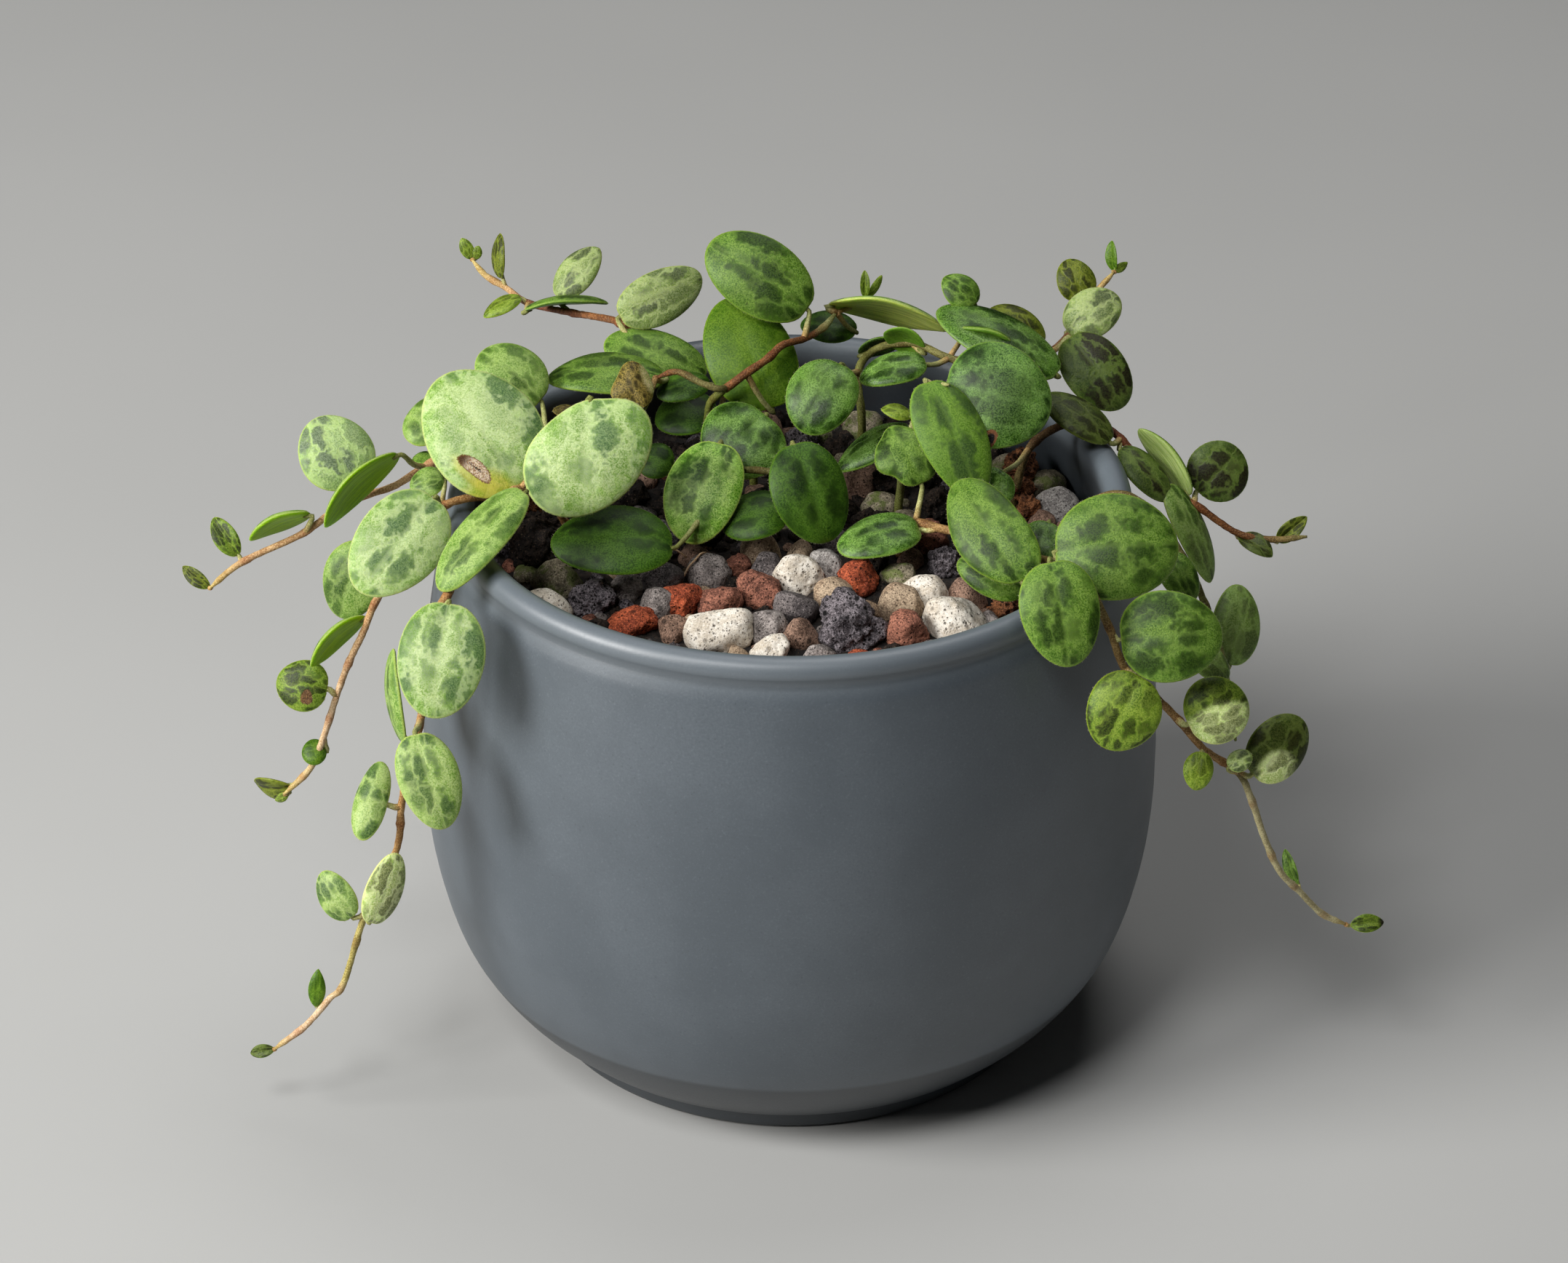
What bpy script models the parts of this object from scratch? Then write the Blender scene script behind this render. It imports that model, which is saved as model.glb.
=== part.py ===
"""A string of turtles, Peperomia prostrata, growing over the rim of a round glazed pot.

Lengths below are in millimetres and are turned into metres where a mesh is made.
The pot stands on z = 0 with its axis on x = y = 0, and its best side faces -y.
"""

import math
import random

import bmesh
import bpy
from mathutils import Matrix, Vector

MM = 0.001

# Pot
POT_STEPS = 36
FOOT_RADIUS = 36.0
FOOT_HEIGHT = 3.4
FOOT_FLARE = 0.6
FOOT_BEVEL = 0.8
RIM_TOP = 80.6
LIP_RADIUS = 1.85
LIP_MIDDLE_RADIUS = 44.45
LIP_STEPS = 6
LIP_SWEEP = math.pi * 1.18
FLOOR_TOP = 6.5
# (radius, height) down the outside, from the groove under the lip to the foot
OUTER_WALL = [(46.2, 76.9), (47.0, 75.6), (48.7, 66.0), (50.1, 56.0), (50.7, 46.0), (50.8, 36.0),
              (49.8, 26.0), (47.2, 16.0), (43.1, 9.0), (38.6, 4.2)]
# (radius, height) up the inside, from the floor to the lip
INNER_WALL = [(34.5, 6.5), (39.5, 9.5), (43.2, 17.0), (46.0, 30.0), (46.2, 46.0), (44.3, 66.0),
              (42.7, 77.0)]

# Potting mix and grit
CLEARANCE = 0.35
MIX_TOP = 65.6
BED_BOTTOM = 66.0
BED_TOP = 69.4
STONE_LIFT = 0.12
STONE_SEED = 11
STONE_TRIES = 120
STONE_SPACING = 0.98
STONE_SIZES = (5.2, 7.0)
STONE_STRETCH = [(0.9, 1.15), (0.85, 1.05), (0.75, 0.95)]
STONE_LEAN = 0.4
STONE_UNEVENNESS = 0.1
STONE_WALL_SHARE = 0.62
# (x, y, size) of the stones that lie in plain view between the leaves
STONES_IN_VIEW = [(-31.5, -7.5, 6.6), (-35.5, -5, 3.2), (-26.5, -12.5, 6.2), (-22, -9.5, 4.4),
                  (-21, -18.5, 5.8), (-18, -15, 5.4), (-14.5, -12.5, 6), (-15.5, -21, 5),
                  (-9.5, -13.5, 5.6), (-11, -5, 5.4), (-9, -21, 8), (-4, -10.5, 6.4),
                  (-3.5, -19.5, 5.8), (-3, -4.5, 5), (1, -7, 6.2), (4.5, -3.5, 5), (1.5, 1, 3.6),
                  (0.5, -15.5, 6.6), (1.5, -22, 5.2), (6, -12, 5.6), (9.5, -7.5, 5.8),
                  (8.5, -20, 9), (14.5, -14, 6), (18, -10.5, 6.2), (21.5, -18.5, 7.2),
                  (15.5, -21, 5.8), (23.5, -11.5, 5.8), (21, -3, 5.2), (10.5, -14.5, 3.2),
                  (-2.5, -25.5, 5), (-7, -3, 3.8), (-17, -7, 5.8), (29, -14, 4), (15, -5.5, 4.6),
                  (35.5, 18.5, 5.4), (36.5, 12.5, 6), (38, 15.5, 3.4), (31.5, 17, 6),
                  (30.5, 23.5, 5.4), (34.5, 8, 4.2), (12.5, 13.5, 4.6), (20.5, 11, 5.2),
                  (-17.5, 26, 4.4), (-37, 2, 4.4)]

# Stems and leaves
STEM_RADIUS = 0.62
STEM_TIP_RADIUS = 0.42
STEM_SIDES = 5
STEM_SPACING = 6.0
NODE_SWELL = 0.14
NODE_EVERY = 3
PETIOLE_RADIUS = 0.42
PETIOLE_SIDES = 4
LONG_PETIOLE = 6.0
PETIOLE_SAG = 0.08
PETIOLE_INSET = 1.2
PETIOLE_LOWEST = 73.4
ROOT_DEPTH = 59.0
HOLE_RADIUS = 1.1
HOLE_SIDES = 8
HOLE_SPARE = 5.0
STONE_HEADROOM = 12.0
BLADE_THICKNESS = 1.2
SMALL_BLADE_THICKNESS = 0.8
BLADE_EDGE = 0.62
SMALL_BLADE = 8.8
BLADE_POINTS = 10
SMALL_BLADE_POINTS = 8
BLADE_DOME = 0.07
BLADE_ARCH = 0.05
BLADE_TAPER = 0.08
INNER_RING = 0.62

# Each leafy stem: the route from its root, and its leaves as
# (base of the blade, tip, width, (azimuth, elevation) that the upper face looks to).
# Azimuth 0 looks to -y and 90 to +x. The root goes straight down from the first point.
# A lopsided leaf also has its lean: how far its tip end swings aside, as a share of half its width.
VINES = {
    "vine_far_left": {
        "route": [(-26, 10, 72), (-29, 9, 79), (-37, 7, 83.5), (-44, 5.5, 84), (-49.5, 4, 81.5),
                  (-54, 3, 79), (-60.5, 2, 77), (-66, 1, 73), (-74.5, -1, 69.5), (-79, -2, 66)],
        "leaves": [((-79, -2, 66), (-83, 0.5, 68), 2.2, (-20, 30)),
                   ((-75, -1, 70.5), (-78.5, 2.5, 74.5), 3.4, (-10, 35)),
                   ((-65, 1, 76.5), (-73.5, 0, 73), 6, (-158, 40)),
                   ((-59, 3, 79), (-64.5, 9, 86.5), 10.2, (12, 42)),
                   ((-53, 1, 86), (-63.2, -3.5, 77), 9, (-133, 27)),
                   ((-34, 16, 85.5), (-42.5, 21, 90.5), 9.2, (10, 52)),
                   ((-47, 9, 85), (-52.5, 11.5, 85.5), 8, (-11, 58)),
                   ((-47.5, 6.5, 80.8), (-51.5, 7.5, 81), 3.5, (20, 70))],
    },
    "vine_left": {
        "route": [(-30, 3.5, 72), (-33, 1, 78), (-40, -5, 82), (-46.5, -8, 82), (-51, -9, 75.5),
                  (-55.5, -10, 69), (-57.5, -10, 64), (-59.5, -11, 60), (-61.5, -11, 54.5),
                  (-63.5, -12, 48.5), (-65.5, -12, 43.5), (-68.5, -12, 40), (-69.5, -12, 39)],
        "leaves": [((-68.5, -12, 40), (-74, -8.5, 38.5), 4.2, (-30, -20)),
                   ((-69, -12, 39), (-71, -10.5, 37), 1.4, (-30, 0)),
                   ((-63.2, -12, 46.2), (-66.7, -12.3, 45.8), 3.8, (5, 52)),
                   ((-62.5, -12, 56), (-69.8, -10.5, 56.3), 7, (-10, 35)),
                   ((-57.5, -8.5, 66), (-65, -12, 60), 6.6, (-135, 26)),
                   ((-57, -4, 74.5), (-61, -7.5, 64.5), 8.6, (-14, 25)),
                   ((-46.8, -12, 86.2), (-56.5, -21, 76.5), 11.6, (3, 43)),
                   ((-46.5, -2, 83.5), (-51, -3, 82), 4.6, (-14, 56))],
    },
    "vine_front_left": {
        "route": [(-24, -4, 72), (-29, -5, 80), (-36, -6.5, 84), (-39, -13, 84), (-41.5, -19, 82.5),
                  (-44.5, -25, 79), (-46, -28, 77), (-47.5, -30, 69), (-48.5, -31, 63),
                  (-50.5, -32, 55.5), (-51.5, -32, 50), (-52.5, -32, 43), (-57, -32, 33),
                  (-60.5, -32, 21.5), (-62.5, -32, 19), (-66, -32, 14.5), (-70.5, -32, 10.5)],
        "leaves": [((-35, -15.3, 89.3), (-46, -26, 80), 7.6, (-35, 50)),
                   ((-44.3, -30.5, 81), (-46, -40.5, 69), 11.4, (-6, 41)),
                   ((-51.3, -31.4, 59.3), (-52.9, -24.4, 70), 6.1, (-75, 9)),
                   ((-49, -35.8, 64), (-45, -41.8, 53), 8.2, (0, 30)),
                   ((-53.2, -32.8, 51), (-57.8, -31.5, 51), 11.2, (-22, 50)),
                   ((-56, -35.5, 33.2), (-52.2, -33.8, 43.7), 5.2, (20, 12)),
                   ((-58.8, -33.2, 32.8), (-63, -29.8, 38), 5.1, (-20, 30)),
                   ((-64.5, -32.2, 17.5), (-64, -30.5, 22.7), 2.4, (0, 20)),
                   ((-70.5, -32, 10.5), (-74, -31.5, 9.5), 1.9, (-20, 30)),
                   ((-36, -7.5, 84.5), (-46.5, 4, 96), 15.4, (4, 47)),
                   ((-26.7, -2.5, 95.9), (-27.2, -11.5, 82.4), 16.4, (-3, 33), 0.27)],
    },
    "vine_back_left": {
        "route": [(-23, 24, 72), (-23, 27, 81), (-22, 32, 86), (-24, 37, 86.5), (-28, 42, 85),
                  (-31, 45, 84), (-37.5, 50, 83), (-41, 54, 83.5), (-44, 56, 84.5), (-46, 58, 86)],
        "leaves": [((-46, 58, 86), (-47.5, 59, 89), 2, (0, 20)),
                   ((-45.5, 58, 86), (-45, 58.5, 88), 1.5, (0, 20)),
                   ((-42, 54.2, 84.7), (-42, 57.2, 90.7), 3.5, (-60, 15)),
                   ((-38.5, 50, 84.3), (-44, 48, 82), 3.4, (-40, 65)),
                   ((-33.5, 48, 85), (-27.3, 52, 91), 5.8, (-26, 47)),
                   ((-38, 44, 85.7), (-26, 45, 86.2), 7.5, (-174, 62)),
                   ((-24, 33.8, 89), (-12.3, 39, 93), 7.5, (13, 36)),
                   ((-11.5, 28.7, 82.5), (-26, 32, 86.7), 9, (15, 62)),
                   ((-29, 25, 78.5), (-33, 24, 79.5), 2.4, (0, 60))],
    },
    "vine_crown": {
        "route": [(-11.5, 18, 72), (-11.5, 18, 79), (-11, 17.5, 84), (-9, 16, 87),
                  (-10, 14.8, 87.8), (-12.5, 15.5, 88.5), (-15.5, 17.5, 89), (-18.5, 17.5, 88)],
        "branch": [(-9, 16, 87), (-6, 17, 89), (-3, 19.5, 90), (-1, 21.5, 91),
                   (2, 24.5, 90.5), (4.5, 27.5, 90.5), (6.5, 30.5, 91.5)],
        "leaves": [((-17, 22, 86.5), (-33.5, 21.5, 86.5), 8.6, (0, 76)),
                   ((-20, 13, 85.7), (-23, 17, 90.2), 5.9, (10, 43)),
                   ((-2.2, 17.5, 83), (-9, 29, 94.7), 12.3, (5, 46)),
                   ((2.7, 25, 94.7), (-11.3, 30.8, 102.4), 10.8, (2, 38)),
                   ((5.3, 31.3, 93.3), (22, 30.7, 89.3), 11.4, (164, 47)),
                   ((9.5, 34, 87), (1.5, 35, 87.5), 5.6, (-2, 63)),
                   ((10.5, 33, 92.5), (10.5, 34.5, 96), 1.4, (0, 20)),
                   ((11, 34, 92), (13, 36, 94.5), 1.2, (20, 20))],
    },
    "vine_centre_back": {
        "route": [(-5, 19, 72), (-5, 20, 77), (-6, 21, 81), (-9, 22.5, 83.5)],
        "leaves": [((-3.2, 14.5, 84.3), (-10, 8.8, 78.3), 12.4, (-7, 45)),
                   ((-10, 26, 79), (-19, 25, 77.5), 8.2, (-15, 68)),
                   ((-11, 21.5, 85.5), (-18.5, 20.5, 84), 5.2, (-22, 65))],
    },
    "vine_centre": {
        "route": [(-13, 8, 72), (-12, 7, 77), (-9, 5.5, 80), (-4, 4, 81), (1, 3, 80.5)],
        "leaves": [((-9.5, 5.5, 85), (-14, -4.5, 74.5), 10.4, (-8, 45)),
                   ((0.6, 2.7, 86.2), (4.8, -5, 74.8), 10.6, (16, 37)),
                   ((-0.5, 0.5, 78), (-9, -2.5, 75.5), 8.4, (-12, 68)),
                   ((-15.2, -10.3, 78), (-32, -10.3, 78.5), 11.2, (3, 65)),
                   ((-16, 13.5, 76.5), (-21, 14.5, 77.5), 5.8, (8, 59))],
    },
    "vine_inner_right": {
        "route": [(15, 11, 72), (16, 12, 80), (18, 12, 87), (20, 9.5, 91), (21.5, 8, 92)],
        "leaves": [((18.5, 8.7, 92.7), (25.5, -1.6, 80), 9.4, (11, 42)),
                   ((20.7, 10.4, 91), (35.2, 6.7, 88.8), 14.8, (-7, 39)),
                   ((16.5, 17.5, 81), (6.5, 13.5, 76), 6, (-50, 62)),
                   ((17, 14, 84), (12.5, 14.5, 85), 3.4, (40, 78))],
    },
    "vine_back_right": {
        "route": [(10, 20, 72), (10, 21, 80), (9.5, 25, 85), (12, 28, 87), (17, 26, 89),
                  (22, 22.5, 88.5), (28, 22.5, 87), (34.5, 26, 86), (36.5, 30, 85.5),
                  (39, 34, 86), (41.5, 38, 88), (43.5, 41, 89.5), (46, 44, 91)],
        "leaves": [((19, 25, 88.5), (13, 26.5, 90.5), 6.5, (152, 27)),
                   ((19, 20, 89.5), (9.5, 18.5, 87.5), 6.4, (-30, 72)),
                   ((7, 18, 90.3), (1.6, 11, 83.3), 9.9, (-8, 47)),
                   ((9.5, 31, 85), (15.5, 31.5, 86.5), 5, (170, 35)),
                   ((37.5, 21.3, 87.2), (20.5, 28.8, 93.3), 9.6, (30, 66)),
                   ((26, 30, 93), (21.5, 32.5, 96), 5, (10, 48)),
                   ((35.5, 28, 88), (27.5, 31.5, 91.5), 6.2, (10, 60)),
                   ((31.5, 25, 89), (23, 26.5, 91), 6, (157, 40)),
                   ((41.7, 40, 88.5), (39.2, 43.6, 93.2), 5.5, (0, 38)),
                   ((38.8, 33.8, 86.8), (46.2, 36.6, 91.2), 7, (-10, 42)),
                   ((39, 30.3, 88), (46.5, 23.9, 80), 8.8, (0, 38)),
                   ((46, 44, 91), (45.5, 46, 95), 2, (-40, 20)),
                   ((46, 44, 91), (48, 45, 92), 1.4, (20, 10))],
    },
    "vine_right": {
        "route": [(31, 13, 72), (33, 14, 79), (38, 15.5, 82), (42, 15.5, 82), (45.5, 14, 80.5),
                  (49, 12, 76.5), (52.5, 10, 73.5), (55.5, 9, 73), (61.5, 8, 69), (66.5, 7, 68.5),
                  (71, 6, 69.5)],
        "leaves": [((44.2, 11, 82), (34.8, 16, 86.4), 6.2, (25, 62)),
                   ((45.5, 12.3, 80.2), (52, 7.3, 74.6), 5.4, (30, 54)),
                   ((55.4, 10.2, 73.8), (48.3, 14.2, 82.3), 5.6, (135, 12)),
                   ((56, 10.2, 74.2), (62, 13.5, 79), 8.8, (5, 30)),
                   ((52, 9.2, 76.5), (58.3, 3.5, 63.9), 5.8, (48, 35)),
                   ((61.8, 8, 68.6), (66.4, 5.3, 67), 3.2, (0, 60)),
                   ((67, 7, 68), (71, 8, 71.5), 2.6, (-10, 30)),
                   ((29.2, 6.7, 79.5), (26.2, 4.2, 75.3), 6, (-10, 45))],
    },
    "vine_front_right": {
        "route": [(15, 1, 72), (17, -0.5, 75.3), (20, -3, 76), (25, -8, 77.5), (30, -14, 78.5),
                  (34.5, -20, 80.5), (37, -25, 82.2), (39, -28.7, 81.3), (41.3, -31.7, 77.5),
                  (43.5, -33, 72), (46.5, -33, 69), (50.5, -33, 64.5), (54.5, -33, 59.5),
                  (59, -32, 55.5), (61, -31, 51), (63.5, -29, 43), (66, -28, 37),
                  (69, -26, 32.5), (72.5, -24, 27.5), (76, -23, 25)],
        "leaves": [((18, 3.3, 79.2), (13.8, 9.8, 84.4), 8, (3, 52)),
                   ((17.8, -2.5, 76.2), (6.4, -5.5, 74.5), 8, (-15, 74)),
                   ((30.5, -23.5, 79.5), (21.7, -10.5, 87.5), 9.8, (-20, 49)),
                   ((34.3, -11.8, 82.2), (31.8, -16.3, 76.7), 6, (-10, 50)),
                   ((31.3, -18.9, 75.5), (22.2, -15.2, 77.9), 5.8, (-15, 50)),
                   ((34.3, -24.6, 84.9), (50.5, -24.3, 85.8), 14.4, (0, 40)),
                   ((33.5, -31, 87.5), (36, -39, 76), 10.3, (5, 36)),
                   ((42.4, -33.2, 76.7), (56, -32.7, 77.2), 12, (0, 38)),
                   ((45.3, -35.8, 72.8), (40.8, -40, 64.2), 9.8, (-5, 30)),
                   ((51.8, -35.2, 64.8), (59.6, -32, 67.5), 9, (10, 30)),
                   ((61, -32.4, 55), (67.9, -27.3, 60.8), 8, (20, 25)),
                   ((54, -34, 60), (53, -36.5, 55.5), 4, (0, 30)),
                   ((57.5, -34, 57.5), (60.7, -32.5, 58.7), 3, (0, 50)),
                   ((68.7, -25.4, 33), (67, -22.5, 37), 1.9, (-30, 20)),
                   ((76.7, -23.2, 25), (81.4, -22.4, 25), 2.6, (0, 40))],
    },
    "vine_right_hanging": {
        "route": [(34, -6, 72), (37, -7, 79), (43, -8, 84), (48, -9, 82), (53, -11, 75),
                  (56.5, -12, 67), (58.5, -11, 60), (59.8, -10.5, 53.5), (61, -10, 46.5)],
        "leaves": [((60, -8.2, 57.2), (61.2, -2.4, 66.7), 7, (11, 30)),
                   ((50, -12, 77.5), (53.5, -16.5, 72.5), 5.6, (24, 48)),
                   ((53.5, -19, 67), (58.3, -21.2, 63.3), 4.8, (30, 45))],
    },
}

COLOURS = {
    "pot": ((0.165, 0.2, 0.225), 0.38),
    "mix": ((0.03, 0.022, 0.016), 0.95),
    "grit": ((0.33, 0.27, 0.23), 0.85),
    "plant": ((0.2, 0.36, 0.08), 0.45),
}


def clear_scene():
    for thing in list(bpy.data.objects):
        bpy.data.objects.remove(thing)


def material(name):
    colour, roughness = COLOURS[name]
    made = bpy.data.materials.new(name)
    made.use_nodes = True
    shader = made.node_tree.nodes["Principled BSDF"]
    shader.inputs["Base Color"].default_value = (*colour, 1.0)
    shader.inputs["Roughness"].default_value = roughness
    return made


def add_object(name, mesh, finish=None, collection=None):
    """Links a mesh to the scene as an object with the given finish."""
    made = bpy.data.objects.new(name, mesh)
    (collection or bpy.context.scene.collection).objects.link(made)
    if finish:
        mesh.materials.append(finish)
    return made


def mesh_from(points, faces):
    """A mesh from points in millimetres."""
    mesh = bpy.data.meshes.new("shape")
    mesh.from_pydata([Vector(p) * MM for p in points], [], faces)
    mesh.update()
    return mesh


def between(table, height):
    """Radius at a height on a wall that is given as (radius, height) pairs."""
    rows = sorted(table, key=lambda row: row[1])
    for (r0, z0), (r1, z1) in zip(rows, rows[1:]):
        if height <= z1:
            return r0 + (r1 - r0) * (height - z0) / (z1 - z0)
    return rows[-1][0]


def curve_through(points, spacing):
    """Points about one spacing apart on a Catmull-Rom curve through the given ones."""
    points = [Vector(p) for p in points]
    ends = [2 * points[0] - points[1]] + points + [2 * points[-1] - points[-2]]
    made = [points[0]]
    for a, b, c, d in zip(ends, ends[1:], ends[2:], ends[3:]):
        steps = max(1, round((c - b).length / spacing))
        for step in range(1, steps + 1):
            t = step / steps
            made.append(0.5 * (2 * b + (c - a) * t + (2 * a - 5 * b + 4 * c - d) * t * t
                               + (3 * b - a - 3 * c + d) * t ** 3))
    return made


def turned(name, profile, finish):
    """A solid turned from a profile of (radius, height) that starts and ends on the axis."""
    mesh = bpy.data.meshes.new(name)
    mesh.from_pydata([(r * MM, 0, z * MM) for r, z in profile],
                     [(i, i + 1) for i in range(len(profile) - 1)], [])
    made = add_object(name, mesh, finish)
    screw = made.modifiers.new("turn", "SCREW")
    screw.steps = POT_STEPS
    screw.render_steps = POT_STEPS
    screw.use_merge_vertices = True
    screw.merge_threshold = 0.00001
    screw.use_smooth_shade = True
    return made


def lip_arc():
    """The rounded lip, from the inner wall over the top to the groove outside."""
    angles = [math.pi - LIP_SWEEP * step / LIP_STEPS for step in range(LIP_STEPS + 1)]
    middle = RIM_TOP - LIP_RADIUS
    return [(LIP_MIDDLE_RADIUS + LIP_RADIUS * math.cos(a), middle + LIP_RADIUS * math.sin(a))
            for a in angles]


def pot(finish):
    profile = [(0, FLOOR_TOP)] + INNER_WALL + lip_arc() + OUTER_WALL
    profile += [(FOOT_RADIUS + FOOT_FLARE, FOOT_HEIGHT), (FOOT_RADIUS, FOOT_BEVEL),
                (FOOT_RADIUS - FOOT_BEVEL, 0), (0, 0)]
    return turned("pot", profile, finish)


def cut_holes(made, cutters):
    """Cuts the plain holes that the stems stand in."""
    group = bpy.data.collections.new("stem_holes")
    bpy.context.scene.collection.children.link(group)
    for cutter in cutters:
        bpy.context.scene.collection.objects.unlink(cutter)
        group.objects.link(cutter)
    combine(made, group, "DIFFERENCE")


def combine(made, group, operation):
    """Applies one Boolean with a collection, then removes the collection and what it held."""
    boolean = made.modifiers.new(operation.lower(), "BOOLEAN")
    boolean.operation = operation
    boolean.operand_type = "COLLECTION"
    boolean.collection = group
    boolean.solver = "MANIFOLD"
    graph = bpy.context.evaluated_depsgraph_get()
    joined = bpy.data.meshes.new_from_object(made.evaluated_get(graph))
    made.modifiers.clear()
    made.data = joined
    for thing in list(group.objects):
        bpy.data.objects.remove(thing)
    bpy.data.collections.remove(group)


def hole_cutters(bottom, top):
    """One upright prism for each stem's hole."""
    cutters = []
    for vine in VINES.values():
        x, y, _ = vine["route"][0]
        ends = [Vector((x, y, bottom)), Vector((x, y, top))]
        cutters.append(add_object("hole", tube(ends, [HOLE_RADIUS] * 2, HOLE_SIDES)))
    return cutters


def potting_mix(finish):
    wall = [(r - CLEARANCE, z) for r, z in INNER_WALL if FLOOR_TOP < z < MIX_TOP]
    wall = [(INNER_WALL[0][0] - CLEARANCE, FLOOR_TOP + CLEARANCE)] + wall
    wall.append((between(INNER_WALL, MIX_TOP) - CLEARANCE, MIX_TOP))
    profile = [(0, MIX_TOP)] + wall[::-1] + [(0, FLOOR_TOP + CLEARANCE)]
    made = turned("potting_mix", profile, finish)
    cut_holes(made, hole_cutters(ROOT_DEPTH - CLEARANCE, MIX_TOP + HOLE_SPARE))
    return made


def stone_mesh(middle, size, draw):
    """One lump of grit: a coarse ball, stretched, turned and knocked about."""
    shape = bmesh.new()
    bmesh.ops.create_icosphere(shape, subdivisions=1, radius=0.5)
    stretch = Vector([draw.uniform(*limits) for limits in STONE_STRETCH])
    turn = Matrix.Rotation(draw.uniform(0, math.tau), 4, "Z")
    turn = turn @ Matrix.Rotation(draw.uniform(-STONE_LEAN, STONE_LEAN), 4, "X")
    for point in shape.verts:
        point.co *= 1 + draw.uniform(-STONE_UNEVENNESS, STONE_UNEVENNESS)
        point.co = turn @ (point.co * stretch)
        point.co = (point.co * size + middle) * MM
    mesh = bpy.data.meshes.new("stone")
    shape.to_mesh(mesh)
    shape.free()
    return mesh


def stone_places(draw):
    """The stones in view, then others drawn at random wherever one still fits."""
    places = list(STONES_IN_VIEW)
    for _ in range(STONE_TRIES):
        size = draw.uniform(*STONE_SIZES)
        reach = between(INNER_WALL, BED_TOP) - CLEARANCE - size * STONE_WALL_SHARE
        distance = reach * math.sqrt(draw.random())
        angle = draw.uniform(0, math.tau)
        x, y = distance * math.cos(angle), distance * math.sin(angle)
        if all(math.hypot(x - a, y - b) > STONE_SPACING * (size + s) / 2 for a, b, s in places):
            places.append((x, y, size))
    return places


def grit(finish):
    """The layer of grit: a bed with stones sunk into its top."""
    draw = random.Random(STONE_SEED)
    top_radius = between(INNER_WALL, BED_TOP) - CLEARANCE
    bottom_radius = between(INNER_WALL, BED_BOTTOM) - CLEARANCE
    profile = [(0, BED_TOP), (top_radius, BED_TOP), (bottom_radius, BED_BOTTOM), (0, BED_BOTTOM)]
    made = turned("grit", profile, finish)
    group = bpy.data.collections.new("stones")
    bpy.context.scene.collection.children.link(group)
    for x, y, size in stone_places(draw):
        middle = Vector((x, y, BED_TOP + STONE_LIFT * size))
        add_object("stone", stone_mesh(middle, size, draw), None, group)
    combine(made, group, "UNION")
    cut_holes(made, hole_cutters(BED_BOTTOM - HOLE_SPARE, BED_TOP + STONE_HEADROOM))
    return made


def tube(points, radii, sides):
    """A closed tube along points, with one radius for each."""
    rings = []
    side = None
    for i, point in enumerate(points):
        along = (points[min(i + 1, len(points) - 1)] - points[max(i - 1, 0)]).normalized()
        if side is None:
            side = along.orthogonal().normalized()
        side = (side - along * side.dot(along)).normalized()
        other = along.cross(side)
        rings.append([point + radii[i] * (side * math.cos(math.tau * k / sides)
                                          + other * math.sin(math.tau * k / sides))
                      for k in range(sides)])
    faces = [tuple(range(sides))[::-1]]
    for r in range(len(rings) - 1):
        for k in range(sides):
            n = (k + 1) % sides
            faces.append((r * sides + k, r * sides + n, (r + 1) * sides + n, (r + 1) * sides + k))
    last = (len(rings) - 1) * sides
    faces.append(tuple(last + k for k in range(sides)))
    return mesh_from([p for ring in rings for p in ring], faces)


def looks_to(azimuth, elevation):
    a, e = math.radians(azimuth), math.radians(elevation)
    return Vector((math.sin(a) * math.cos(e), -math.cos(a) * math.cos(e), math.sin(e)))


def blade(base, tip, width, facing, lean=0.0):
    """One leaf blade: an oval, domed and gently arched, with a blunt edge all round."""
    base, tip = Vector(base), Vector(tip)
    along = tip - base
    length = along.length
    along.normalize()
    face = looks_to(*facing)
    face = (face - along * face.dot(along)).normalized()
    across = along.cross(face)
    small = length < SMALL_BLADE
    count = SMALL_BLADE_POINTS if small else BLADE_POINTS
    thickness = SMALL_BLADE_THICKNESS if small else BLADE_THICKNESS
    dome = BLADE_DOME * width
    arch = BLADE_ARCH * length

    def surface(scale, turn, lift):
        ahead = -math.cos(turn) * scale
        aside = math.sin(turn) * scale * (1 - BLADE_TAPER * ahead) + lean * ahead
        height = dome * (1 - scale * scale) - arch * ahead * ahead + lift
        return (base + along * length * (0.5 + 0.5 * ahead) + across * width * 0.5 * aside
                + face * height)

    turns = [math.tau * k / count for k in range(count)]
    half_edge = BLADE_EDGE / 2
    layers = [[surface(1, t, half_edge) for t in turns], [surface(1, t, -half_edge) for t in turns]]
    if not small:
        layers.insert(0, [surface(INNER_RING, t, thickness / 2) for t in turns])
    points = [p for layer in layers for p in layer]
    top, bottom = len(points), len(points) + 1
    points += [surface(0, 0, thickness / 2), surface(0, 0, -thickness / 2)]
    faces = []
    for layer in range(len(layers) - 1):
        for k in range(count):
            n = (k + 1) % count
            a, b = layer * count + k, layer * count + n
            c, d = a + count, b + count
            faces += [(a, c, d), (a, d, b)]
    last = (len(layers) - 1) * count
    for k in range(count):
        n = (k + 1) % count
        faces += [(top, k, n), (bottom, last + n, last + k)]
    return mesh_from(points, faces)


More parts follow.
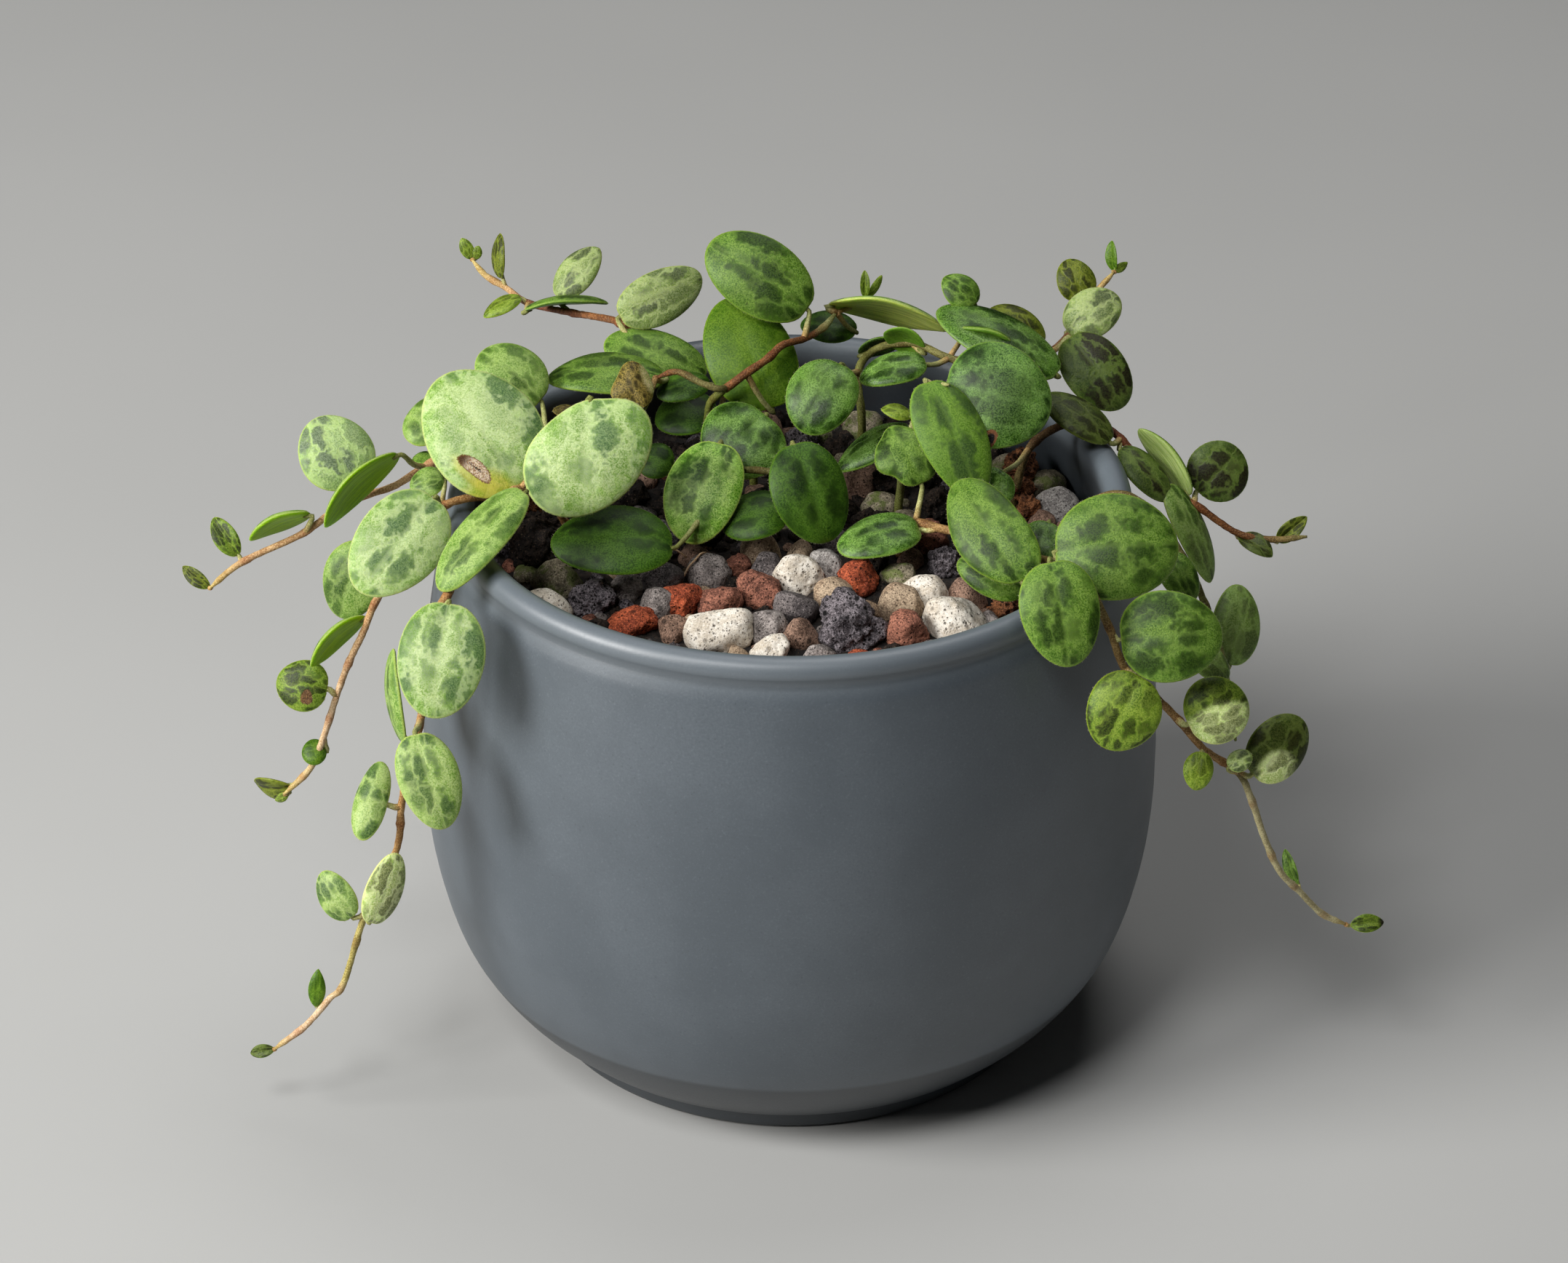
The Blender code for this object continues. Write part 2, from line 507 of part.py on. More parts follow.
def petiole(stem, base, tip):
    """The short leaf stalk, from the middle of the stem to inside the blade."""
    base, tip = Vector(base), Vector(tip)
    free = [p for p in stem if p.z > PETIOLE_LOWEST or p.xy.length > LIP_MIDDLE_RADIUS]
    start = min(free, key=lambda p: (p - base).length)
    end = base + (tip - base).normalized() * PETIOLE_INSET
    middle = (start + base) / 2 - Vector((0, 0, PETIOLE_SAG * (base - start).length))
    points = [start, middle, end] if (base - start).length > LONG_PETIOLE else [start, end]
    return tube(points, [PETIOLE_RADIUS] * len(points), PETIOLE_SIDES)


def stem_tube(route, rooted):
    """A stem that thins to its tip and swells a little at its nodes."""
    count = len(route)
    radii = []
    for i in range(count):
        radius = STEM_RADIUS + (STEM_TIP_RADIUS - STEM_RADIUS) * i / (count - 1)
        radii.append(radius + (NODE_SWELL if i % NODE_EVERY == NODE_EVERY - 1 else 0))
    if rooted:
        radii[0] = radii[1] = STEM_RADIUS
    return tube(route, radii, STEM_SIDES)


def leafy_stem(name, vine, finish):
    """One rooted stem with its branch, leaf stalks and leaves, joined in one solid."""
    first = Vector(vine["route"][0])
    root = Vector((first.x, first.y, ROOT_DEPTH))
    route = curve_through(vine["route"], STEM_SPACING)
    made = add_object(name, stem_tube([root] + route, True), finish)
    group = bpy.data.collections.new(name + "_leaves")
    bpy.context.scene.collection.children.link(group)
    if "branch" in vine:
        branch = curve_through(vine["branch"], STEM_SPACING)
        add_object("branch", stem_tube(branch, False), None, group)
        route = route + branch
    for leaf in vine["leaves"]:
        base, tip = leaf[:2]
        add_object("blade", blade(*leaf), None, group)
        add_object("petiole", petiole(route, base, tip), None, group)
    combine(made, group, "UNION")
    return made


def build():
    clear_scene()
    finishes = {name: material(name) for name in COLOURS}
    pot(finishes["pot"])
    potting_mix(finishes["mix"])
    grit(finishes["grit"])
    for name, vine in VINES.items():
        leafy_stem(name, vine, finishes["plant"])


build()
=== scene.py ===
"""Looks of the potted string of turtles: fine leaves, stems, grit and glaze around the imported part."""

import math
import random

import bmesh
import bpy
import numpy as np
from mathutils import Euler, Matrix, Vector, noise


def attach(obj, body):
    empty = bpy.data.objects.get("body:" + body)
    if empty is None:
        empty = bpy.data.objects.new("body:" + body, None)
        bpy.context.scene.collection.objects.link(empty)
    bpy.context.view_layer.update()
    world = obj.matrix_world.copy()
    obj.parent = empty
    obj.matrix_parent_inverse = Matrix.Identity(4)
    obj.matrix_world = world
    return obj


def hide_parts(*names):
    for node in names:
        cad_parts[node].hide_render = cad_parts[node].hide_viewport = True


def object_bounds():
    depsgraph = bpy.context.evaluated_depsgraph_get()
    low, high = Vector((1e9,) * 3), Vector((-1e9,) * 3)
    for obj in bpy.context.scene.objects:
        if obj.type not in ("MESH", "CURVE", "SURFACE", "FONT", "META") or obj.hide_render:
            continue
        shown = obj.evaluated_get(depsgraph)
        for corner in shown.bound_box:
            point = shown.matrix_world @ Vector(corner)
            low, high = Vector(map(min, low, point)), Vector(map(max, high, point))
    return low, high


MM = 0.001
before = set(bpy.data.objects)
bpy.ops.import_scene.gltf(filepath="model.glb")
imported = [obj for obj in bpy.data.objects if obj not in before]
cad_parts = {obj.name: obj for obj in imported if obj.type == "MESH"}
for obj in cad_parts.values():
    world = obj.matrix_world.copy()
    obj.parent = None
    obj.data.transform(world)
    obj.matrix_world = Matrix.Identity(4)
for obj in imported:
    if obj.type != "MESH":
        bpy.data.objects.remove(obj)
CAD_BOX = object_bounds()

# ---- pot (mm), its profiles as (radius, height) ----
POT_STEPS = 144
FLOOR_RADIUS = 18.0
FOOT = [(36.6, 3.4), (36.15, 2.4), (36.0, 0.9), (35.75, 0.3), (35.2, 0.0)]
RIM_TOP = 80.6
LIP_RADIUS = 1.85
LIP_MIDDLE_RADIUS = 44.45
LIP_TURN = 1.18 * math.pi
LIP_STEPS = 18
OUTER_WALL = [(46.2, 76.9), (47.0, 75.6), (48.7, 66.0), (50.1, 56.0), (50.7, 46.0), (50.8, 36.0),
              (49.8, 26.0), (47.2, 16.0), (43.1, 9.0), (38.6, 4.2)]
INNER_WALL = [(34.5, 6.5), (39.5, 9.5), (43.2, 17.0), (46.0, 30.0), (46.2, 46.0), (44.3, 66.0),
              (42.7, 77.0)]
# where the glaze is painted paler up the lip as a highlight, and darker in and down the mouth as painted
# shade
LIP_HIGHLIGHT_HEIGHTS = (75.2, 77.6)
MOUTH_SHADE_RADII = (46.5, 45.9)
MOUTH_SHADE_HEIGHTS = (79.2, 76.0)

# ---- grit (mm) ----
CLEARANCE = 0.35
BED_BOTTOM = 66.0
BED_TOP = 69.4
BED_STEPS = 96
BED_ROWS = 30
CRUMB_HEIGHT = 0.55
CRUMB_SCALE = 0.55
STONE_LIFT = 0.12
STONE_SEED = 11
GRAIN_SEED = 5
SHAPE_SEED = 29
STONE_TRIES = 120
STONE_SPACING = 0.98
STONE_SIZES = (5.2, 7.0)
STONE_WALL_SHARE = 0.62
STONE_CLOSENESS = 1.06

# (x, y, size, kind) of the stones in plain view
STONES = [
    (-31.5, -7.5, 6.6, "mossy"), (-35.5, -5, 3.2, "mossy"), (-26.5, -12.5, 6.2, "black"),
    (-22, -9.5, 4.4, "grey"), (-21, -18.5, 5.8, "red"), (-18, -15, 5.4, "grey"),
    (-14.5, -12.5, 6, "red"), (-15.5, -21, 5, "brown"), (-9.5, -13.5, 5.6, "rust"),
    (-11, -5, 5.4, "grey"), (-9, -21, 8, "white"), (-4, -10.5, 6.4, "rust"),
    (-3.5, -19.5, 5.8, "grey"), (-3, -4.5, 5, "dark"), (1, -7, 6.2, "white"), (4.5, -3.5, 5, "pale"),
    (1.5, 1, 3.6, "tan"), (0.5, -15.5, 6.6, "dark"), (1.5, -22, 5.2, "brown"), (6, -12, 5.6, "tan"),
    (9.5, -7.5, 5.8, "red"), (8.5, -20, 9, "black"), (14.5, -14, 6, "tan"), (18, -10.5, 6.2, "white"),
    (21.5, -18.5, 7.2, "white"), (15.5, -21, 5.8, "rust"), (23.5, -11.5, 5.8, "brown"),
    (21, -3, 5.2, "black"), (10.5, -14.5, 3.2, "tan"), (-2.5, -25.5, 5, "white"),
    (-7, -3, 3.8, "rust"), (-17, -7, 5.8, "dark"), (29, -14, 4, "lava"), (15, -5.5, 4.6, "mossy"),
    (35.5, 18.5, 5.4, "mossy"), (36.5, 12.5, 6, "pale"), (38, 15.5, 3.4, "tan"), (31.5, 17, 6, "lava"),
    (30.5, 23.5, 5.4, "mossy"), (34.5, 8, 4.2, "brown"), (12.5, 13.5, 4.6, "mossy"),
    (20.5, 11, 5.2, "brown"), (-17.5, 26, 4.4, "brown"), (-37, 2, 4.4, "black"),
]
FILLER_KINDS = ["brown", "grey", "red", "dark", "white", "rust", "black", "tan"]
# darker kinds for stones and grains behind the leaves (from LEAF_SHADE_Y back): painted shade, together with
# the dark soil there
SHADE_AND_SOIL_KINDS = ["peat", "black", "peat", "dark", "lava", "brown", "peat", "mossy"]
GRAIN_KINDS = ["peat", "dark", "rust", "peat", "brown", "black", "grey", "peat", "tan"]
LEAF_SHADE_Y = 6.0
GRAIN_SIZES = [(3.4, 4.8, 900), (1.6, 3.2, 1800)]
SMALL_GRAIN = 3.3
SMALL_GRAIN_SINK = 0.08
GRAIN_WALL_SHARE = 0.55
GRAIN_SINK = 0.5
GRAIN_LIFT = 0.15
STONE_FACETS = 14
FACET_REACH = (0.84, 1.04)
STONE_WIDEST = 1.12
LUMPS_A_STONE = 2.2
PORE_WIDTHS = (0.35, 1.0)
STONE_STRETCH = ((0.94, 1.1), (0.9, 1.04), (0.84, 0.98))
STONE_TURN = ((-0.4, 0.4), (-0.4, 0.4), (0, math.tau))
# lumps of root ball and lava that lie on the grit: (x, y, z, size, kind)
LUMPS = [(-34.9, -0.8, 72.6, 7.4, "peat"), (-33.5, 4.5, 71.5, 6, "peat"), (19.8, 9.6, 72, 5.4, "peat"),
         (32, 19.4, 73.4, 4.6, "lava"), (31.4, 14.4, 72.4, 4.2, "lava"), (32.6, 10.2, 71.4, 3.8, "lava"),
         (12.6, 8, 70.6, 4.6, "peat"), (-16, 24, 71.4, 5.4, "peat"), (14, 17.6, 72, 4.4, "peat")]
# kind of stone: two body colours, pore colour, pore size in mm, pore share, relief in mm
STONE_LOOKS = {
    "red": ((190, 94, 60), (130, 58, 36), (36, 14, 9), 0.7, 0.55, 0.3),
    "rust": ((158, 104, 84), (106, 66, 53), (36, 19, 15), 0.6, 0.45, 0.24),
    "lava": ((140, 90, 56), (82, 48, 30), (22, 11, 7), 0.7, 0.7, 0.35),
    "black": ((126, 118, 122), (62, 57, 60), (7, 6, 7), 0.6, 0.8, 0.42),
    "dark": ((118, 110, 108), (74, 68, 68), (14, 12, 13), 0.55, 0.5, 0.22),
    "grey": ((156, 147, 142), (112, 104, 100), (30, 26, 25), 0.6, 0.45, 0.2),
    "brown": ((152, 122, 104), (104, 80, 66), (26, 18, 14), 0.6, 0.45, 0.22),
    "tan": ((180, 158, 132), (138, 116, 94), (60, 46, 34), 0.7, 0.35, 0.18),
    "pale": ((186, 180, 174), (142, 136, 132), (50, 45, 42), 0.7, 0.4, 0.2),
    "white": ((234, 226, 212), (202, 190, 172), (62, 50, 38), 1.1, 0.2, 0.2),
    "mossy": ((150, 140, 118), (104, 96, 78), (36, 33, 24), 0.6, 0.4, 0.16),
    # peat: the dark soil of the root ball, darkened towards black as painted shade in the gaps between the
    # stones
    "peat": ((50, 39, 31), (20, 15, 12), (6, 5, 4), 0.6, 0.75, 0.45),
}
# kind of stone: hardness of its facets, lumpiness, number of pores, their depth and their width
STONE_SHAPES = {
    "black": (9, 0.17, 90, 0.14, 0.2), "lava": (8, 0.24, 60, 0.16, 0.24), "red": (7, 0.09, 80, 0.08, 0.15),
    "rust": (7, 0.07, 60, 0.06, 0.13), "grey": (6, 0.05, 40, 0.035, 0.11), "white": (7, 0.05, 60, 0.05, 0.12),
    "tan": (5, 0.04, 24, 0.035, 0.12), "peat": (7, 0.26, 60, 0.12, 0.24),
}

# ---- leaves and stems (mm) ----
STEM_RADIUS = 0.62
STEM_TIP_RADIUS = 0.42
STEM_SIDES = 12
STEM_SPACING = 0.6
STEM_HAIRS = (0.3, 0.62)
NODE_GAP = (6, 9)
NODE_REACH = 1.2
NODE_SWELL = 0.12
NODE_TINT = (200, 150, 120)
STEM_UNEVEN = 0.03
COARSE_SPACING = 6.0
ROOT_START = 59.4
ROOT_SPACING = 3.0
ROOTLET_RADIUS = 0.14
ROOTLET_SPACING = 0.4
PETIOLE_RADIUS = 0.42
PETIOLE_SAG = 0.08
# how far each of the last two points is in from the blade's base and below its middle
PETIOLE_ENDS = ((0.0, 0.42), (1.2, 0.4))
PETIOLE_LOWEST = 73.4
PETIOLE_SIDES = 9
PETIOLE_TONES = ((0, "amber"), (0.5, "stalk"), (1, "green"))
SMALL_BLADE = 8.8
BLADE_HALF = 0.56
SMALL_BLADE_HALF = 0.38
BLADE_DOME = 0.07
BLADE_ARCH = 0.05
BLADE_TAPER = 0.08
BLADE_POINTS = 44
SMALL_BLADE_POINTS = 30
RINGS = [0.1, 0.22, 0.34, 0.46, 0.57, 0.67, 0.76, 0.84, 0.9, 0.945, 0.975, 0.993]
RIM_WAVES = (0.012, 0.014)
NOTCH_DEPTH = 0.05
NOTCH_WIDTH = 0.25
RIPPLE = 0.012
GROOVE_DEPTH = 0.016
GROOVE_WIDTH = 0.16
# the rows of blotches follow arcs from a little before the base to a little past the tip
VEINS_START = 0.08
VEINS_END = 1.15
VEINS_TURN = 2.73
VEINS_RISE = 4.63
NO_MARK = 9.0
SECOND_BORDER = 0.8
HAIR_RADIUS = 0.02
HAIR_SPACING = 0.28
RIM_HAIRS = (0.12, 0.3)
HAIRS_A_RING = 3
BARK_ROUGHNESS = 0.16
BARK_GRAIN = 1.6

# Leaf looks: blade, blotch and vein colours as sRGB, blotch strength, blotches across and along
# the blade, softness of their border, how plain the veins are, how much painted sheen (pale cloud patches)
# and rim wash the blade has, and gloss
LOOKS = {
    "palest": ((144, 172, 90), (60, 92, 62), (196, 212, 156), 0.86, 3.3, 3.5, 0.2, 0.5, 0.9, 0.3),
    "veined": ((162, 180, 136), (88, 100, 88), (184, 208, 136), 0.85, 3.5, 3.4, 0.12, 0.95, 0.5, 0.3),
    "yellowed": ((176, 182, 70), (150, 160, 50), (206, 204, 100), 0.4, 3.4, 3.4, 0.24, 0.2, 0.6, 0.3),
    "pale": ((140, 170, 84), (54, 84, 48), (190, 208, 136), 0.88, 3.6, 3.8, 0.16, 0.4, 0.6, 0.3),
    "soft": ((108, 142, 56), (36, 64, 14), (166, 188, 110), 0.82, 3.6, 3.8, 0.2, 0.3, 0.6, 0.3),
    "mid": ((80, 114, 32), (26, 46, 9), (136, 166, 76), 0.9, 3.8, 3.9, 0.18, 0.15, 0.5, 0.4),
    "sheen": ((42, 76, 9), (8, 26, 1), (126, 162, 84), 1.0, 3.4, 3.4, 0.16, 0.1, 0.6, 0.5),
    "gleam": ((98, 152, 12), (22, 54, 2), (208, 238, 138), 0.95, 3.4, 3.6, 0.2, 0.1, 1.0, 0.6),
    "glossy": ((54, 88, 20), (14, 36, 3), (132, 168, 84), 0.92, 3.6, 3.6, 0.22, 0.1, 0.7, 1.0),
    "deep": ((38, 70, 5), (12, 31, 1), (86, 122, 36), 0.88, 3.2, 3.2, 0.22, 0.1, 0.6, 0.3),
    "bright": ((76, 110, 12), (40, 72, 4), (114, 146, 42), 0.75, 3.6, 3.6, 0.2, 0.1, 0.5, 0.4),
    "shaded": ((100, 134, 44), (54, 78, 38), (124, 160, 62), 0.95, 3.2, 3.0, 0.18, 0.1, 0.3, 0.1),
    "patched": ((98, 124, 30), (30, 36, 8), (144, 164, 64), 0.95, 4.4, 4.2, 0.08, 0.2, 0.3, 0.3),
    "maroon": ((70, 90, 34), (32, 20, 14), (102, 120, 54), 1.0, 3.2, 3.4, 0.1, 0.7, 0.2, 0.2),
    "bronze": ((66, 80, 22), (40, 38, 14), (106, 120, 56), 0.9, 3.3, 3.5, 0.1, 0.7, 0.2, 0.2),
    "olive": ((86, 96, 18), (40, 43, 8), (126, 136, 44), 0.95, 4.0, 4.0, 0.09, 0.6, 0.2, 0.2),
    "milky": ((134, 152, 86), (68, 76, 54), (172, 186, 124), 0.92, 3.0, 3.2, 0.09, 0.7, 0.3, 0.3),
    # cream: the pale patches of two leaves, and brightened further as painted light on a leaf turned away
    # from the lamps
    "cream": ((222, 236, 152), (108, 110, 78), (236, 246, 184), 0.9, 3.0, 3.2, 0.09, 0.7, 0.3, 0.3),
    "young": ((112, 134, 34), (66, 78, 18), (150, 170, 66), 0.8, 3.4, 3.6, 0.12, 0.4, 0.4, 0.3),
    "under": ((146, 190, 4), (118, 162, 2), (166, 206, 30), 0.3, 4.4, 4.4, 0.2, 0.3, 0.5, 0.1),
    "under_deep": ((92, 132, 34), (70, 106, 22), (120, 156, 60), 0.3, 4.4, 4.4, 0.2, 0.3, 0.5, 0.1),
    # far paler than a leaf's own colour: a painted glow of light through a blade whose lower side faces down,
    # away from the lamps
    "under_painted_glow": ((240, 254, 128), (206, 228, 92), (250, 255, 160), 0.3, 4.4, 4.4, 0.2, 0.3, 0.5, 0.1),
    "under_grey": ((160, 178, 108), (124, 138, 86), (160, 176, 110), 0.3, 4.4, 4.4, 0.2, 0.3, 0.5, 0.1),
    "dusk": ((124, 146, 76), (72, 84, 46), (146, 172, 96), 0.85, 3.6, 3.8, 0.14, 0.3, 0.4, 0.2),
    "dry": ((60, 50, 7), (28, 18, 5), (172, 150, 78), 0.85, 7.0, 7.0, 0.3, 0.0, 0.3, 0.0),
    "char": ((30, 22, 18), (14, 10, 8), (60, 46, 36), 0.9, 9.0, 9.0, 0.3, 0.0, 0.3, 0.0),
    "husk": ((196, 178, 120), (184, 158, 98), (226, 212, 168), 0.3, 9.0, 9.0, 0.3, 0.0, 0.6, 0.0),
}
# look of the upper side of a leaf that turns its lower side to the front
UPPER_LOOKS = {"under": "soft", "under_deep": "mid", "under_painted_glow": "pale", "under_grey": "mid"}
STEM_TONES = {
    "orange": ((216, 178, 130), (156, 112, 70)),
    "amber": ((200, 158, 102), (140, 98, 52)),
    "rust": ((150, 98, 54), (90, 52, 26)),
    "umber": ((150, 118, 70), (98, 70, 36)),
    "brown": ((178, 140, 90), (112, 80, 42)),
    "cream": ((232, 204, 168), (186, 148, 106)),
    "straw": ((214, 194, 126), (168, 140, 70)),
    "lime": ((206, 192, 118), (142, 126, 60)),
    "pale": ((212, 202, 156), (162, 150, 108)),
    "olive": ((126, 120, 70), (82, 74, 34)),
    "green": ((124, 132, 56), (80, 84, 28)),
    "stalk": ((196, 198, 138), (148, 148, 84)),
    "wine": ((124, 66, 46), (70, 34, 24)),
}

